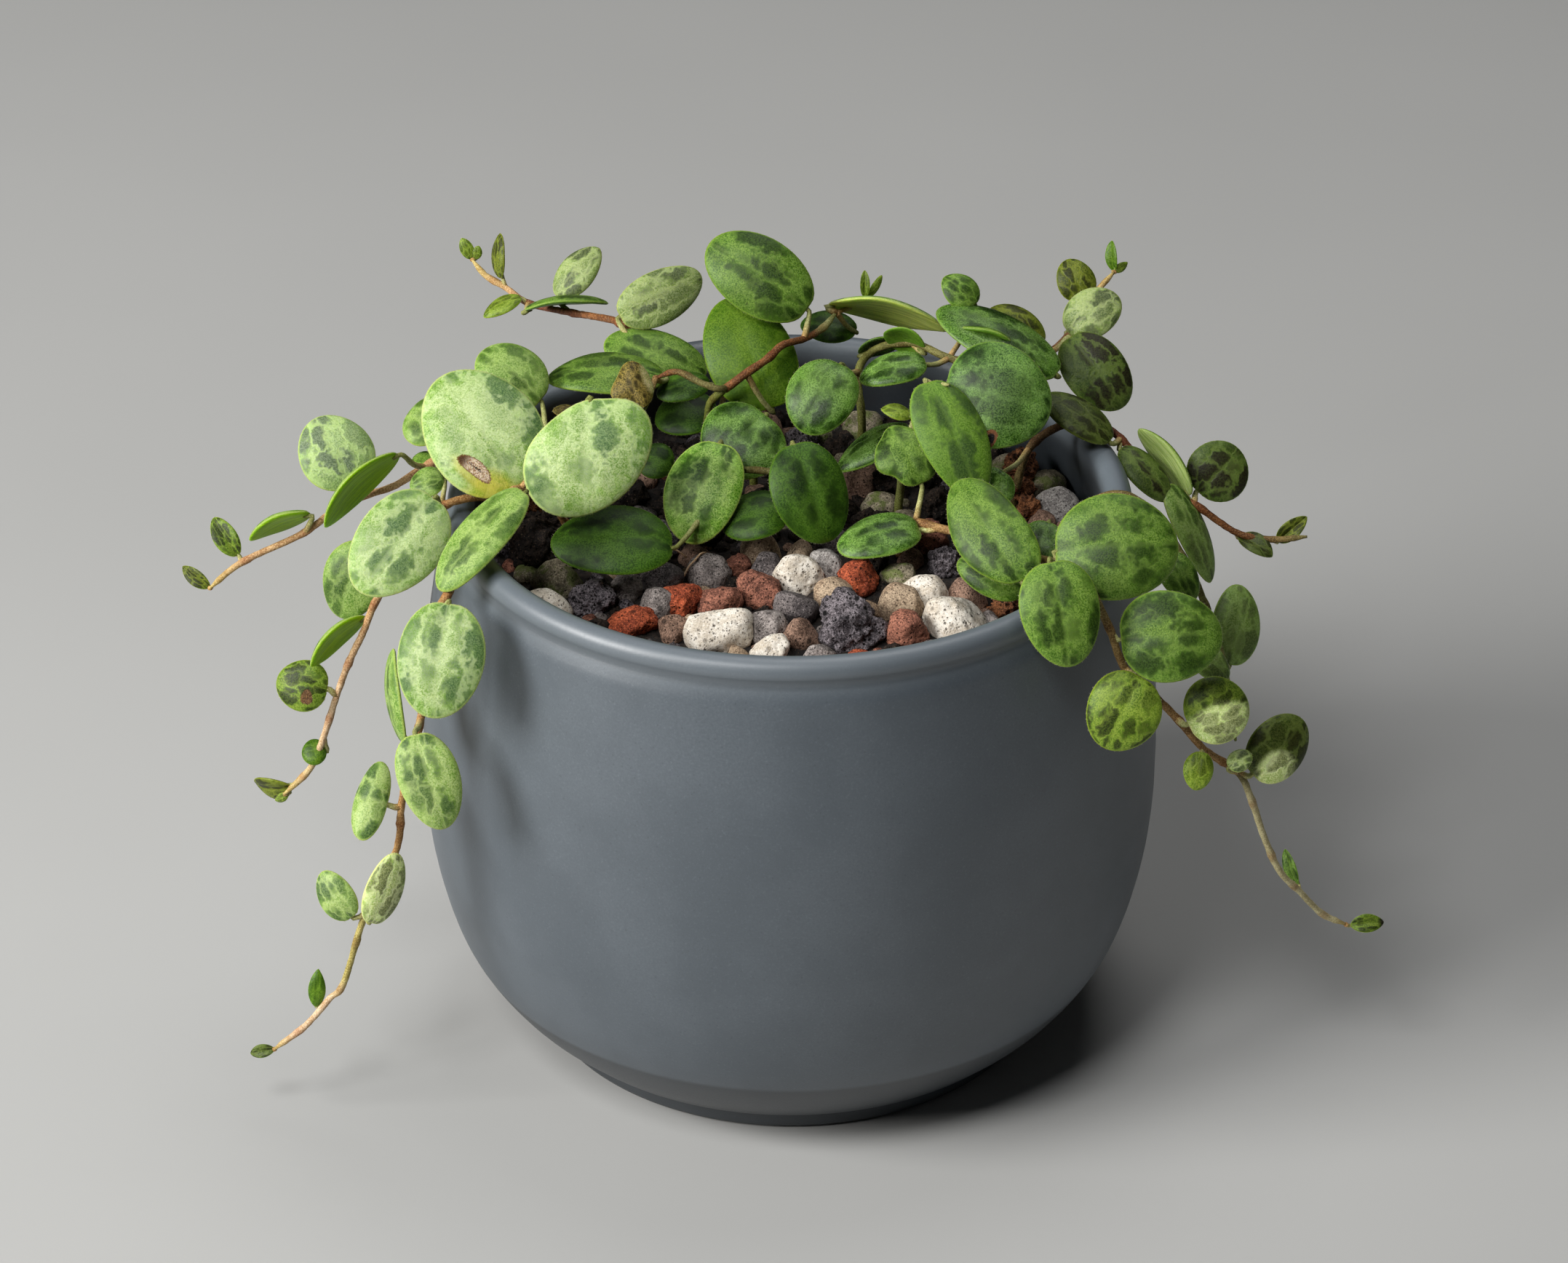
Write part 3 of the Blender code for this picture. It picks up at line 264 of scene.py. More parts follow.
# Each leafy stem as in the part: stem tones as (share of the way from the root, tone), route, and
# leaves as (base, tip, width, facing, look, pointedness, extras). Extras: "mark" is (across, along,
# reach across, reach along, turn in degrees, kind) with kind 0 a scab in a yellow ring, 1 a hole in
# a brown ring and 2 a brown blotch; "second" is a patch of another look as (look, across, along,
# reach, width of its border). Both have their place as shares of the width and the length, and
# reaches in mm. "outline" scales the rim at even turns from the base, "lean" swings the tip end
# aside, "ripple" waves the blade, and "fold" lifts its sides.
VINES = {
    "vine_far_left": {
        "tones": ((0, "amber"), (0.5, "orange"), (0.9, "orange"), (1, "straw")),
        "route": [
            (-26, 10, 72), (-29, 9, 79), (-37, 7, 83.5), (-44, 5.5, 84), (-49.5, 4, 81.5), (-54, 3, 79),
            (-60.5, 2, 77), (-66, 1, 73), (-74.5, -1, 69.5), (-79, -2, 66),
        ],
        "leaves": [
            ((-79, -2, 66), (-83, 0.5, 68), 2.2, (-20, 30), "olive", 0.4, {"fold": 0.5}),
            ((-75, -1, 70.5), (-78.5, 2.5, 74.5), 3.4, (-10, 35), "patched", 0.2, {"fold": 0.5}),
            ((-65, 1, 76.5), (-73.5, 0, 73), 6, (-158, 40), "under", 0.3),
            ((-59, 3, 79), (-64.5, 9, 86.5), 10.2, (12, 42), "veined", 0),
            ((-53, 1, 86), (-63.2, -3.5, 77), 9, (-133, 27), "under", 0.2),
            ((-34, 16, 85.5), (-42.5, 21, 90.5), 9.2, (10, 52), "soft", 0),
            ((-47, 9, 85), (-52.5, 11.5, 85.5), 8, (-11, 58), "soft", 0),
            ((-47.5, 6.5, 80.8), (-51.5, 7.5, 81), 3.5, (20, 70), "mid", 0),
        ],
    },
    "vine_left": {
        "tones": ((0, "amber"), (0.35, "amber"), (0.6, "orange"), (0.85, "cream"), (1, "straw")),
        "route": [
            (-30, 3.5, 72), (-33, 1, 78), (-40, -5, 82), (-46.5, -8, 82), (-51, -9, 75.5),
            (-55.5, -10, 69), (-57.5, -10, 64), (-59.5, -11, 60), (-61.5, -11, 54.5), (-63.5, -12, 48.5),
            (-65.5, -12, 43.5), (-68.5, -12, 40), (-69.5, -12, 39),
        ],
        "leaves": [
            ((-68.5, -12, 40), (-74, -8.5, 38.5), 4.2, (-30, -20), "olive", 0.3, {"fold": 0.3}),
            ((-69, -12, 39), (-71, -10.5, 37), 1.4, (-30, 0), "young", 0.4),
            ((-63.2, -12, 46.2), (-66.7, -12.3, 45.8), 3.8, (5, 52), "bright", 0.1),
            ((-62.5, -12, 56), (-69.8, -10.5, 56.3), 7, (-10, 35), "patched", 0,
             {"mark": (-0.21, 0.36, 1.0, 0.8, 0, 2)}),
            ((-57.5, -8.5, 66), (-65, -12, 60), 6.6, (-135, 26), "under", 0.5),
            ((-57, -4, 74.5), (-61, -7.5, 64.5), 8.6, (-14, 25), "soft", 0),
            ((-46.8, -12, 86.2), (-56.5, -21, 76.5), 11.6, (3, 43), "palest", 0),
            ((-46.5, -2, 83.5), (-51, -3, 82), 4.6, (-14, 56), "soft", 0),
        ],
    },
    "vine_front_left": {
        "tones": (
            (0, "olive"), (0.2, "amber"), (0.74, "amber"), (0.78, "lime"), (0.86, "lime"), (0.9, "cream"),
            (0.97, "cream"), (1, "straw"),
        ),
        "route": [
            (-24, -4, 72), (-29, -5, 80), (-36, -6.5, 84), (-39, -13, 84), (-41.5, -19, 82.5),
            (-44.5, -25, 79), (-46, -28, 77), (-47.5, -30, 69), (-48.5, -31, 63), (-50.5, -32, 55.5),
            (-51.5, -32, 50), (-52.5, -32, 43), (-57, -32, 33), (-60.5, -32, 21.5), (-62.5, -32, 19),
            (-66, -32, 14.5), (-70.5, -32, 10.5),
        ],
        "leaves": [
            ((-35, -15.3, 89.3), (-46, -26, 80), 7.6, (-35, 50), "soft", 0),
            ((-44.3, -30.5, 81), (-46, -40.5, 69), 11.4, (-6, 41), "palest", 0),
            ((-51.3, -31.4, 59.3), (-52.9, -24.4, 70), 6.1, (-75, 9), "soft", 0.3),
            ((-49, -35.8, 64), (-45, -41.8, 53), 8.2, (0, 30), "pale", 0),
            ((-53.2, -32.8, 51), (-57.8, -31.5, 51), 11.2, (-22, 50), "pale", 0),
            ((-56, -35.5, 33.2), (-52.2, -33.8, 43.7), 5.2, (20, 12), "cream", 0),
            ((-58.8, -33.2, 32.8), (-63, -29.8, 38), 5.1, (-20, 30), "pale", 0),
            ((-64.5, -32.2, 17.5), (-64, -30.5, 22.7), 2.4, (0, 20), "bright", 0.6),
            ((-70.5, -32, 10.5), (-74, -31.5, 9.5), 1.9, (-20, 30), "bronze", 0.4, {"fold": 0.5}),
            ((-36, -7.5, 84.5), (-46.5, 4, 96), 15.4, (4, 47), "palest", 0,
             {"mark": (-0.23, 0.28, 1.0, 2.7, 21, 0), "second": ("yellowed", -0.24, 0.04, 3.6)}),
            ((-26.7, -2.5, 95.9), (-27.2, -11.5, 82.4), 16.4, (-3, 33), "palest", -0.05,
             {"lean": 0.27, "outline": [1.0, 0.93, 1.02, 1.0, 1.0, 1.0, 1.0, 1.03]}),
        ],
    },
    "vine_back_left": {
        "tones": ((0, "rust"), (0.55, "rust"), (0.75, "wine"), (0.85, "orange"), (1, "straw")),
        "route": [
            (-23, 24, 72), (-23, 27, 81), (-22, 32, 86), (-24, 37, 86.5), (-28, 42, 85), (-31, 45, 84),
            (-37.5, 50, 83), (-41, 54, 83.5), (-44, 56, 84.5), (-46, 58, 86),
        ],
        "leaves": [
            ((-46, 58, 86), (-47.5, 59, 89), 2, (0, 20), "young", 0.4),
            ((-45.5, 58, 86), (-45, 58.5, 88), 1.5, (0, 20), "young", 0.4),
            ((-42, 54.2, 84.7), (-42, 57.2, 90.7), 3.5, (-60, 15), "olive", 0.3),
            ((-38.5, 50, 84.3), (-44, 48, 82), 3.4, (-40, 65), "young", 0.2),
            ((-33.5, 48, 85), (-27.3, 52, 91), 5.8, (-26, 47), "milky", 0.2),
            ((-38, 44, 85.7), (-26, 45, 86.2), 7.5, (-174, 62), "under_deep", 0.2),
            ((-24, 33.8, 89), (-12.3, 39, 93), 7.5, (13, 36), "milky", 0),
            ((-11.5, 28.7, 82.5), (-26, 32, 86.7), 9, (15, 62), "mid", 0),
            ((-29, 25, 78.5), (-33, 24, 79.5), 2.4, (0, 60), "dry", 0.2),
        ],
    },
    "vine_crown": {
        "tones": (
            (0, "green"), (0.6, "green"), (0.66, "olive"), (0.84, "olive"), (0.94, "rust"), (1, "rust"),
        ),
        "route": [
            (-11.5, 18, 72), (-11.5, 18, 79), (-11, 17.5, 84), (-9, 16, 87), (-10, 14.8, 87.8),
            (-12.5, 15.5, 88.5), (-15.5, 17.5, 89), (-18.5, 17.5, 88),
        ],
        "branch_tones": ((0, "rust"), (0.75, "rust"), (0.85, "stalk"), (1, "stalk")),
        "branch": [
            (-9, 16, 87), (-6, 17, 89), (-3, 19.5, 90), (-1, 21.5, 91), (2, 24.5, 90.5), (4.5, 27.5, 90.5),
            (6.5, 30.5, 91.5),
        ],
        "leaves": [
            ((-17, 22, 86.5), (-33.5, 21.5, 86.5), 8.6, (0, 76), "mid", 0.15),
            ((-20, 13, 85.7), (-23, 17, 90.2), 5.9, (10, 43), "dry", 0.35,
             {"outline": [1.0, 1.0, 1.0, 1.22, 1.0, 0.86, 1.12, 0.95], "ripple": 0.08,
              "fold": -0.2, "second": ("husk", 1.1, 0.5, 4.8, 0.5)}),
            ((-2.2, 17.5, 83), (-9, 29, 94.7), 12.3, (5, 46), "bright", 0),
            ((2.7, 25, 94.7), (-11.3, 30.8, 102.4), 10.8, (2, 38), "mid", 0),
            ((5.3, 31.3, 93.3), (22, 30.7, 89.3), 11.4, (164, 47), "under_painted_glow", 0.2),
            ((9.5, 34, 87), (1.5, 35, 87.5), 5.6, (-2, 63), "deep", 0.1),
            ((10.5, 33, 92.5), (10.5, 34.5, 96), 1.4, (0, 20), "young", 0.2, {"fold": 0.6}),
            ((11, 34, 92), (13, 36, 94.5), 1.2, (20, 20), "young", 0.2),
        ],
    },
    "vine_centre_back": {
        "tones": ((0, "green"), (1, "green")),
        "route": [(-5, 19, 72), (-5, 20, 77), (-6, 21, 81), (-9, 22.5, 83.5)],
        "leaves": [
            ((-3.2, 14.5, 84.3), (-10, 8.8, 78.3), 12.4, (-7, 45), "glossy", 0),
            ((-10, 26, 79), (-19, 25, 77.5), 8.2, (-15, 68), "deep", 0.1),
            ((-11, 21.5, 85.5), (-18.5, 20.5, 84), 5.2, (-22, 65), "deep", 0.1),
        ],
    },
    "vine_centre": {
        "tones": ((0, "green"), (1, "olive")),
        "route": [(-13, 8, 72), (-12, 7, 77), (-9, 5.5, 80), (-4, 4, 81), (1, 3, 80.5)],
        "leaves": [
            ((-9.5, 5.5, 85), (-14, -4.5, 74.5), 10.4, (-8, 45), "gleam", 0),
            ((0.6, 2.7, 86.2), (4.8, -5, 74.8), 10.6, (16, 37), "deep", 0),
            ((-0.5, 0.5, 78), (-9, -2.5, 75.5), 8.4, (-12, 68), "deep", 0),
            ((-15.2, -10.3, 78), (-32, -10.3, 78.5), 11.2, (3, 65), "deep", 0.05),
            ((-16, 13.5, 76.5), (-21, 14.5, 77.5), 5.8, (8, 59), "deep", 0),
        ],
    },
    "vine_inner_right": {
        "tones": ((0, "green"), (1, "stalk")),
        "route": [(15, 11, 72), (16, 12, 80), (18, 12, 87), (20, 9.5, 91), (21.5, 8, 92)],
        "leaves": [
            ((18.5, 8.7, 92.7), (25.5, -1.6, 80), 9.4, (11, 42), "shaded", 0.05),
            ((20.7, 10.4, 91), (35.2, 6.7, 88.8), 14.8, (-7, 39), "sheen", 0,
             {"mark": (0.4, 0.56, 1.2, 0.8, 0, 1)}),
            ((16.5, 17.5, 81), (6.5, 13.5, 76), 6, (-50, 62), "glossy", 0.2),
            ((17, 14, 84), (12.5, 14.5, 85), 3.4, (40, 78), "young", 0.5),
        ],
    },
    "vine_back_right": {
        "tones": ((0, "green"), (0.55, "olive"), (0.7, "rust"), (0.9, "orange"), (1, "straw")),
        "route": [
            (10, 20, 72), (10, 21, 80), (9.5, 25, 85), (12, 28, 87), (17, 26, 89), (22, 22.5, 88.5),
            (28, 22.5, 87), (34.5, 26, 86), (36.5, 30, 85.5), (39, 34, 86), (41.5, 38, 88),
            (43.5, 41, 89.5), (46, 44, 91),
        ],
        "leaves": [
            ((19, 25, 88.5), (13, 26.5, 90.5), 6.5, (152, 27), "under_deep", 0.2),
            ((19, 20, 89.5), (9.5, 18.5, 87.5), 6.4, (-30, 72), "glossy", 0.1),
            ((7, 18, 90.3), (1.6, 11, 83.3), 9.9, (-8, 47), "glossy", 0),
            ((9.5, 31, 85), (15.5, 31.5, 86.5), 5, (170, 35), "glossy", 0),
            ((37.5, 21.3, 87.2), (20.5, 28.8, 93.3), 9.6, (30, 66), "glossy", 0.1),
            ((26, 30, 93), (21.5, 32.5, 96), 5, (10, 48), "mid", 0.1),
            ((35.5, 28, 88), (27.5, 31.5, 91.5), 6.2, (10, 60), "olive", 0),
            ((31.5, 25, 89), (23, 26.5, 91), 6, (157, 40), "under_deep", 0),
            ((41.7, 40, 88.5), (39.2, 43.6, 93.2), 5.5, (0, 38), "olive", 0),
            ((38.8, 33.8, 86.8), (46.2, 36.6, 91.2), 7, (-10, 42), "milky", 0),
            ((39, 30.3, 88), (46.5, 23.9, 80), 8.8, (0, 38), "maroon", 0),
            ((46, 44, 91), (45.5, 46, 95), 2, (-40, 20), "bright", 0.4, {"fold": 0.5}),
            ((46, 44, 91), (48, 45, 92), 1.4, (20, 10), "young", 0.4),
        ],
    },
    "vine_right": {
        "tones": ((0, "olive"), (0.4, "wine"), (0.6, "rust"), (0.8, "rust"), (1, "olive")),
        "route": [
            (31, 13, 72), (33, 14, 79), (38, 15.5, 82), (42, 15.5, 82), (45.5, 14, 80.5), (49, 12, 76.5),
            (52.5, 10, 73.5), (55.5, 9, 73), (61.5, 8, 69), (66.5, 7, 68.5), (71, 6, 69.5),
        ],
        "leaves": [
            ((44.2, 11, 82), (34.8, 16, 86.4), 6.2, (25, 62), "bronze", 0.1),
            ((45.5, 12.3, 80.2), (52, 7.3, 74.6), 5.4, (30, 54), "maroon", 0.1),
            ((55.4, 10.2, 73.8), (48.3, 14.2, 82.3), 5.6, (135, 12), "under_grey", 0.2),
            ((56, 10.2, 74.2), (62, 13.5, 79), 8.8, (5, 30), "maroon", 0),
            ((52, 9.2, 76.5), (58.3, 3.5, 63.9), 5.8, (48, 35), "dusk", 0.1,
             {"second": ("soft", -0.2, 0.12, 4.6, 3.0)}),
            ((61.8, 8, 68.6), (66.4, 5.3, 67), 3.2, (0, 60), "bronze", 0.3, {"fold": 0.5}),
            ((67, 7, 68), (71, 8, 71.5), 2.6, (-10, 30), "olive", 0.3, {"fold": 0.7}),
            ((29.2, 6.7, 79.5), (26.2, 4.2, 75.3), 6, (-10, 45), "glossy", 0),
        ],
    },
    "vine_front_right": {
        "tones": (
            (0, "umber"), (0.15, "brown"), (0.35, "olive"), (0.5, "umber"), (0.6, "brown"),
            (0.665, "brown"), (0.69, "olive"), (0.72, "pale"), (0.98, "pale"), (1, "straw"),
        ),
        "route": [
            (15, 1, 72), (17, -0.5, 75.3), (20, -3, 76), (25, -8, 77.5), (30, -14, 78.5),
            (34.5, -20, 80.5), (37, -25, 82.2), (39, -28.7, 81.3), (41.3, -31.7, 77.5), (43.5, -33, 72),
            (46.5, -33, 69), (50.5, -33, 64.5), (54.5, -33, 59.5), (59, -32, 55.5), (61, -31, 51),
            (63.5, -29, 43), (66, -28, 37), (69, -26, 32.5), (72.5, -24, 27.5), (76, -23, 25),
        ],
        "leaves": [
            ((18, 3.3, 79.2), (13.8, 9.8, 84.4), 8, (3, 52), "mid", -0.05,
             {"outline": [1.0, 1.0, 1.0, 1.0, 1.0, 1.05, 1.1, 0.97, 1.07, 1.13, 0.82, 0.93]}),
            ((17.8, -2.5, 76.2), (6.4, -5.5, 74.5), 8, (-15, 74), "glossy", 0),
            ((30.5, -23.5, 79.5), (21.7, -10.5, 87.5), 9.8, (-20, 49), "mid", 0,
             {"outline": [1.0, 1.06, 0.97, 1.05, 1.0, 0.94, 0.98, 0.93]}),
            ((34.3, -11.8, 82.2), (31.8, -16.3, 76.7), 6, (-10, 50), "glossy", 0),
            ((31.3, -18.9, 75.5), (22.2, -15.2, 77.9), 5.8, (-15, 50), "mid", 0),
            ((34.3, -24.6, 84.9), (50.5, -24.3, 85.8), 14.4, (0, 40), "mid", 0),
            ((33.5, -31, 87.5), (36, -39, 76), 10.3, (5, 36), "mid", 0),
            ((42.4, -33.2, 76.7), (56, -32.7, 77.2), 12, (0, 38), "mid", 0),
            ((45.3, -35.8, 72.8), (40.8, -40, 64.2), 9.8, (-5, 30), "patched", 0),
            ((51.8, -35.2, 64.8), (59.6, -32, 67.5), 9, (10, 30), "patched", 0,
             {"second": ("cream", 0.75, 0.35, 7.6)}),
            ((61, -32.4, 55), (67.9, -27.3, 60.8), 8, (20, 25), "bronze", 0,
             {"second": ("cream", 0.22, 0.27, 2.6)}),
            ((54, -34, 60), (53, -36.5, 55.5), 4, (0, 30), "young", 0.1),
            ((57.5, -34, 57.5), (60.7, -32.5, 58.7), 3, (0, 50), "milky", 0.1),
            ((68.7, -25.4, 33), (67, -22.5, 37), 1.9, (-30, 20), "mid", 0.3, {"fold": 0.4}),
            ((76.7, -23.2, 25), (81.4, -22.4, 25), 2.6, (0, 40), "patched", 0.4,
             {"fold": 0.5, "second": ("char", 0.05, 1.02, 0.9)}),
        ],
    },
    "vine_right_hanging": {
        "tones": ((0, "rust"), (0.4, "olive"), (1, "green")),
        "route": [
            (34, -6, 72), (37, -7, 79), (43, -8, 84), (48, -9, 82), (53, -11, 75), (56.5, -12, 67),
            (58.5, -11, 60), (59.8, -10.5, 53.5), (61, -10, 46.5),
        ],
        "leaves": [
            ((60, -8.2, 57.2), (61.2, -2.4, 66.7), 7, (11, 30), "dusk", 0),
            ((50, -12, 77.5), (53.5, -16.5, 72.5), 5.6, (24, 48), "mid", 0),
            ((53.5, -19, 67), (58.3, -21.2, 63.3), 4.8, (30, 45), "dusk", 0),
        ],
    },
}

# pale rootlets that show between the stones
ROOTLETS = [
    [(-14.3, -7, 70.8), (-13.6, -6.4, 72), (-12.8, -5.8, 72.6), (-12.1, -4.8, 73), (-11.4, -3.7, 72.6)],
    [(-19, -3.5, 71), (-17.5, -3.8, 73), (-15.5, -4.4, 73.4), (-14, -4, 72)],
]

# ---- studio (m) ----
PHOTO_WIDTH = 2155
FOCAL_PIXELS = 6500
SENSOR_WIDTH = 36.0
CAMERA_PLACE = (-0.0008, -0.5577, 0.3917)
CAMERA_TILT = 59.1
# name, place, target, size, power and colour
LIGHTS = [
    ("key", (-0.8, -0.36, 0.56), (0, 0, 0.06), 0.5, 13.0, (1.0, 0.99, 0.97)),
    ("front", (-0.26, -0.47, 0.82), (0, 0, 0.07), 0.26, 3.4, (1.0, 1.0, 1.0)),
    ("above", (0.12, 0.3, 0.95), (0, 0, 0.08), 0.5, 2.4, (1.0, 1.0, 1.0)),
]
WORLD_COLOUR = (0.9, 0.93, 0.97, 1)
WORLD_POWER = 0.025
FLOOR_SIZE = 8
FLOOR_GAP = 0.0003
FLOOR_TONES = ((0.41, 0.41, 0.4, 1), (0.45, 0.45, 0.44, 1))


# ---- small helpers ----

def linear(colour):
    """sRGB 0 to 255 as linear RGBA."""
    made = [c / 255 for c in colour]
    return tuple(c / 12.92 if c <= 0.04045 else ((c + 0.055) / 1.055) ** 2.4 for c in made) + (1.0,)


def spline(a, b, c, d, t):
    """Point between b and c of a smooth curve through all four."""
    return 0.5 * (2 * b + (c - a) * t + (2 * a - 5 * b + 4 * c - d) * t * t
                  + (3 * b - a - 3 * c + d) * t ** 3)


def curve_through(points, spacing):
    points = [Vector(p) for p in points]
    ends = [2 * points[0] - points[1]] + points + [2 * points[-1] - points[-2]]
    made = [points[0]]
    for a, b, c, d in zip(ends, ends[1:], ends[2:], ends[3:]):
        steps = max(1, round((c - b).length / spacing))
        made += [spline(a, b, c, d, step / steps) for step in range(1, steps + 1)]
    return made


def wall_curve(wall, spacing):
    return [(p.x, p.y) for p in curve_through([(r, z, 0) for r, z in wall], spacing)]


def inner_radius(height):
    """Radius of the pot's inner wall at a height, less the clearance (heights within the table)."""
    for (r0, z0), (r1, z1) in zip(INNER_WALL, INNER_WALL[1:]):
        if height <= z1:
            return r0 + (r1 - r0) * (height - z0) / (z1 - z0) - CLEARANCE


def unit(rows):
    return rows / np.linalg.norm(rows, axis=1)[:, None]


def gauss(draw, spread=1):
    return [draw.gauss(0, spread) for _ in range(3)]


def ring_faces(rings, steps):
    """Faces of stacked rings, closed onto the two points that follow them."""
    faces, first, end = [], rings * steps, (rings - 1) * steps
    turns = [(k, (k + 1) % steps) for k in range(steps)]
    for row in range(0, end, steps):
        faces += [(row + k, row + steps + k, row + steps + n, row + n) for k, n in turns]
    for k, n in turns:
        faces += [(first, k, n), (first + 1, end + n, end + k)]
    return faces


def link(name, data):
    made = bpy.data.objects.new(name, data)
    bpy.context.scene.collection.objects.link(made)
    return made


class Shape:
    """Gathers points, faces and point attributes of one piece."""

    def __init__(self):
        self.points, self.faces, self.values = [], [], {}
        self.count = 0

    def add(self, points, faces, **values):
        points = np.asarray(points, float).reshape(-1, 3)
        self.points.append(points)
        self.faces += [tuple(i + self.count for i in face) for face in faces]
        for name, value in values.items():
            value = np.broadcast_to(np.asarray(value, float), (len(points), np.shape(value)[-1]))
            self.values.setdefault(name, []).append(value)
        self.count += len(points)

    def build(self, name, material, slot, *nodes):
        mesh = bpy.data.meshes.new(name)
        points = np.clip(np.concatenate(self.points) * MM, CAD_BOX[0], CAD_BOX[1])
        mesh.from_pydata(points.tolist(), [], self.faces)
        for key, parts in self.values.items():
            rows = np.concatenate(parts)
            kind, field = ("FLOAT_VECTOR", "vector") if rows.shape[1] == 3 else ("FLOAT_COLOR", "color")
            attribute = mesh.attributes.new(key, kind, "POINT")
            attribute.data.foreach_set(field, rows.astype(np.float32).ravel())
        mesh.validate()
        mesh.shade_smooth()
        mesh.materials.append(material)
        made = link(name, mesh)
        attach(made, "root")
        if nodes:
            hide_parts(*nodes)


class Value:
    """One output of a material's nodes, which takes sums, products, powers and abs()."""

    def __init__(self, graph, socket):
        self.graph, self.socket = graph, socket

    def __abs__(self):
        return self.graph.math("ABSOLUTE", self)


for symbol, operation in (("add", "ADD"), ("sub", "SUBTRACT"), ("mul", "MULTIPLY"), ("pow", "POWER")):
    setattr(Value, f"__{symbol}__", lambda a, b, operation=operation: a.graph.math(operation, a, b))


class Graph:
    """A short way to write a material's nodes. Places are in mm, and colours of three values sRGB."""

    def __init__(self, name):
        self.material = bpy.data.materials.new(name)
        self.material.use_nodes = True
        self.tree = self.material.node_tree
        coordinates = self.node("TexCoord", {}, "Object")
        self.place = self.node("VectorMath", {0: coordinates, "Scale": 1 / MM}, operation="SCALE")

    def node(self, kind, inputs, output=0, **settings):
        made = self.tree.nodes.new("ShaderNode" + kind)
        for key, value in settings.items():
            setattr(made, key, value)
        for key, value in inputs.items():
            self.put(made.inputs[key], value)
        return Value(self, made.outputs[output])

    def put(self, socket, value):
        if isinstance(value, Value):
            self.tree.links.new(value.socket, socket)
        else:
            socket.default_value = value

    def math(self, operation, *values):
        return self.node("Math", dict(enumerate(values)), operation=operation)

    def step(self, value, low, high, to_low=0.0, to_high=1.0):
        values = dict(enumerate((value, low, high, to_low, to_high)))
        return self.node("MapRange", values, interpolation_type="SMOOTHSTEP")

    def mix(self, share, a, b, blend="MIX"):
        a, b = [linear(c) if isinstance(c, tuple) and len(c) == 3 else c for c in (a, b)]
        return self.node("Mix", {0: share, 6: a, 7: b}, 2, data_type="RGBA", blend_type=blend)

    def tint(self, colour, *shares):
        return self.mix(1.0, colour, (*shares, 1), "MULTIPLY")

    def attribute(self, name):
        """Colour, vector and alpha of a point attribute."""
        outputs = self.node("Attribute", {}, attribute_name=name).socket.node.outputs
        return [Value(self, outputs[key]) for key in ("Color", "Vector", "Alpha")]

    def split(self, vector):
        return [Value(self, socket) for socket in self.node("SeparateXYZ", {0: vector}).socket.node.outputs]

    def join(self, *values):
        return self.node("CombineXYZ", dict(enumerate(values)))

    def reach(self, x, y):
        """Distance from the middle."""
        return (x * x + y * y) ** 0.5

    def noise(self, scale, detail, rough=0.5, place=None, output=0):
        inputs = {"Vector": place or self.place, "Scale": scale, "Detail": detail, "Roughness": rough}
        return self.node("TexNoise", inputs, output)

    def voronoi(self, scale, place=None, randomness=1.0, output="Distance", feature="F1"):
        inputs = {"Vector": place or self.place, "Scale": scale, "Randomness": randomness}
        return self.node("TexVoronoi", inputs, output, feature=feature)

    def bump(self, height, distance, strength=1.0):
        return self.node("Bump", {"Strength": strength, "Distance": distance * MM, "Height": height})

    def finish(self, colour, roughness, normal=None, **constants):
        shader = self.tree.nodes["Principled BSDF"]
        self.put(shader.inputs["Base Color"], colour)
        self.put(shader.inputs["Roughness"], roughness)
        if normal:
            self.put(shader.inputs["Normal"], normal)
        for key, value in constants.items():
            shader.inputs[key.replace("_", " ")].default_value = value
        return self.material


# ---- materials ----

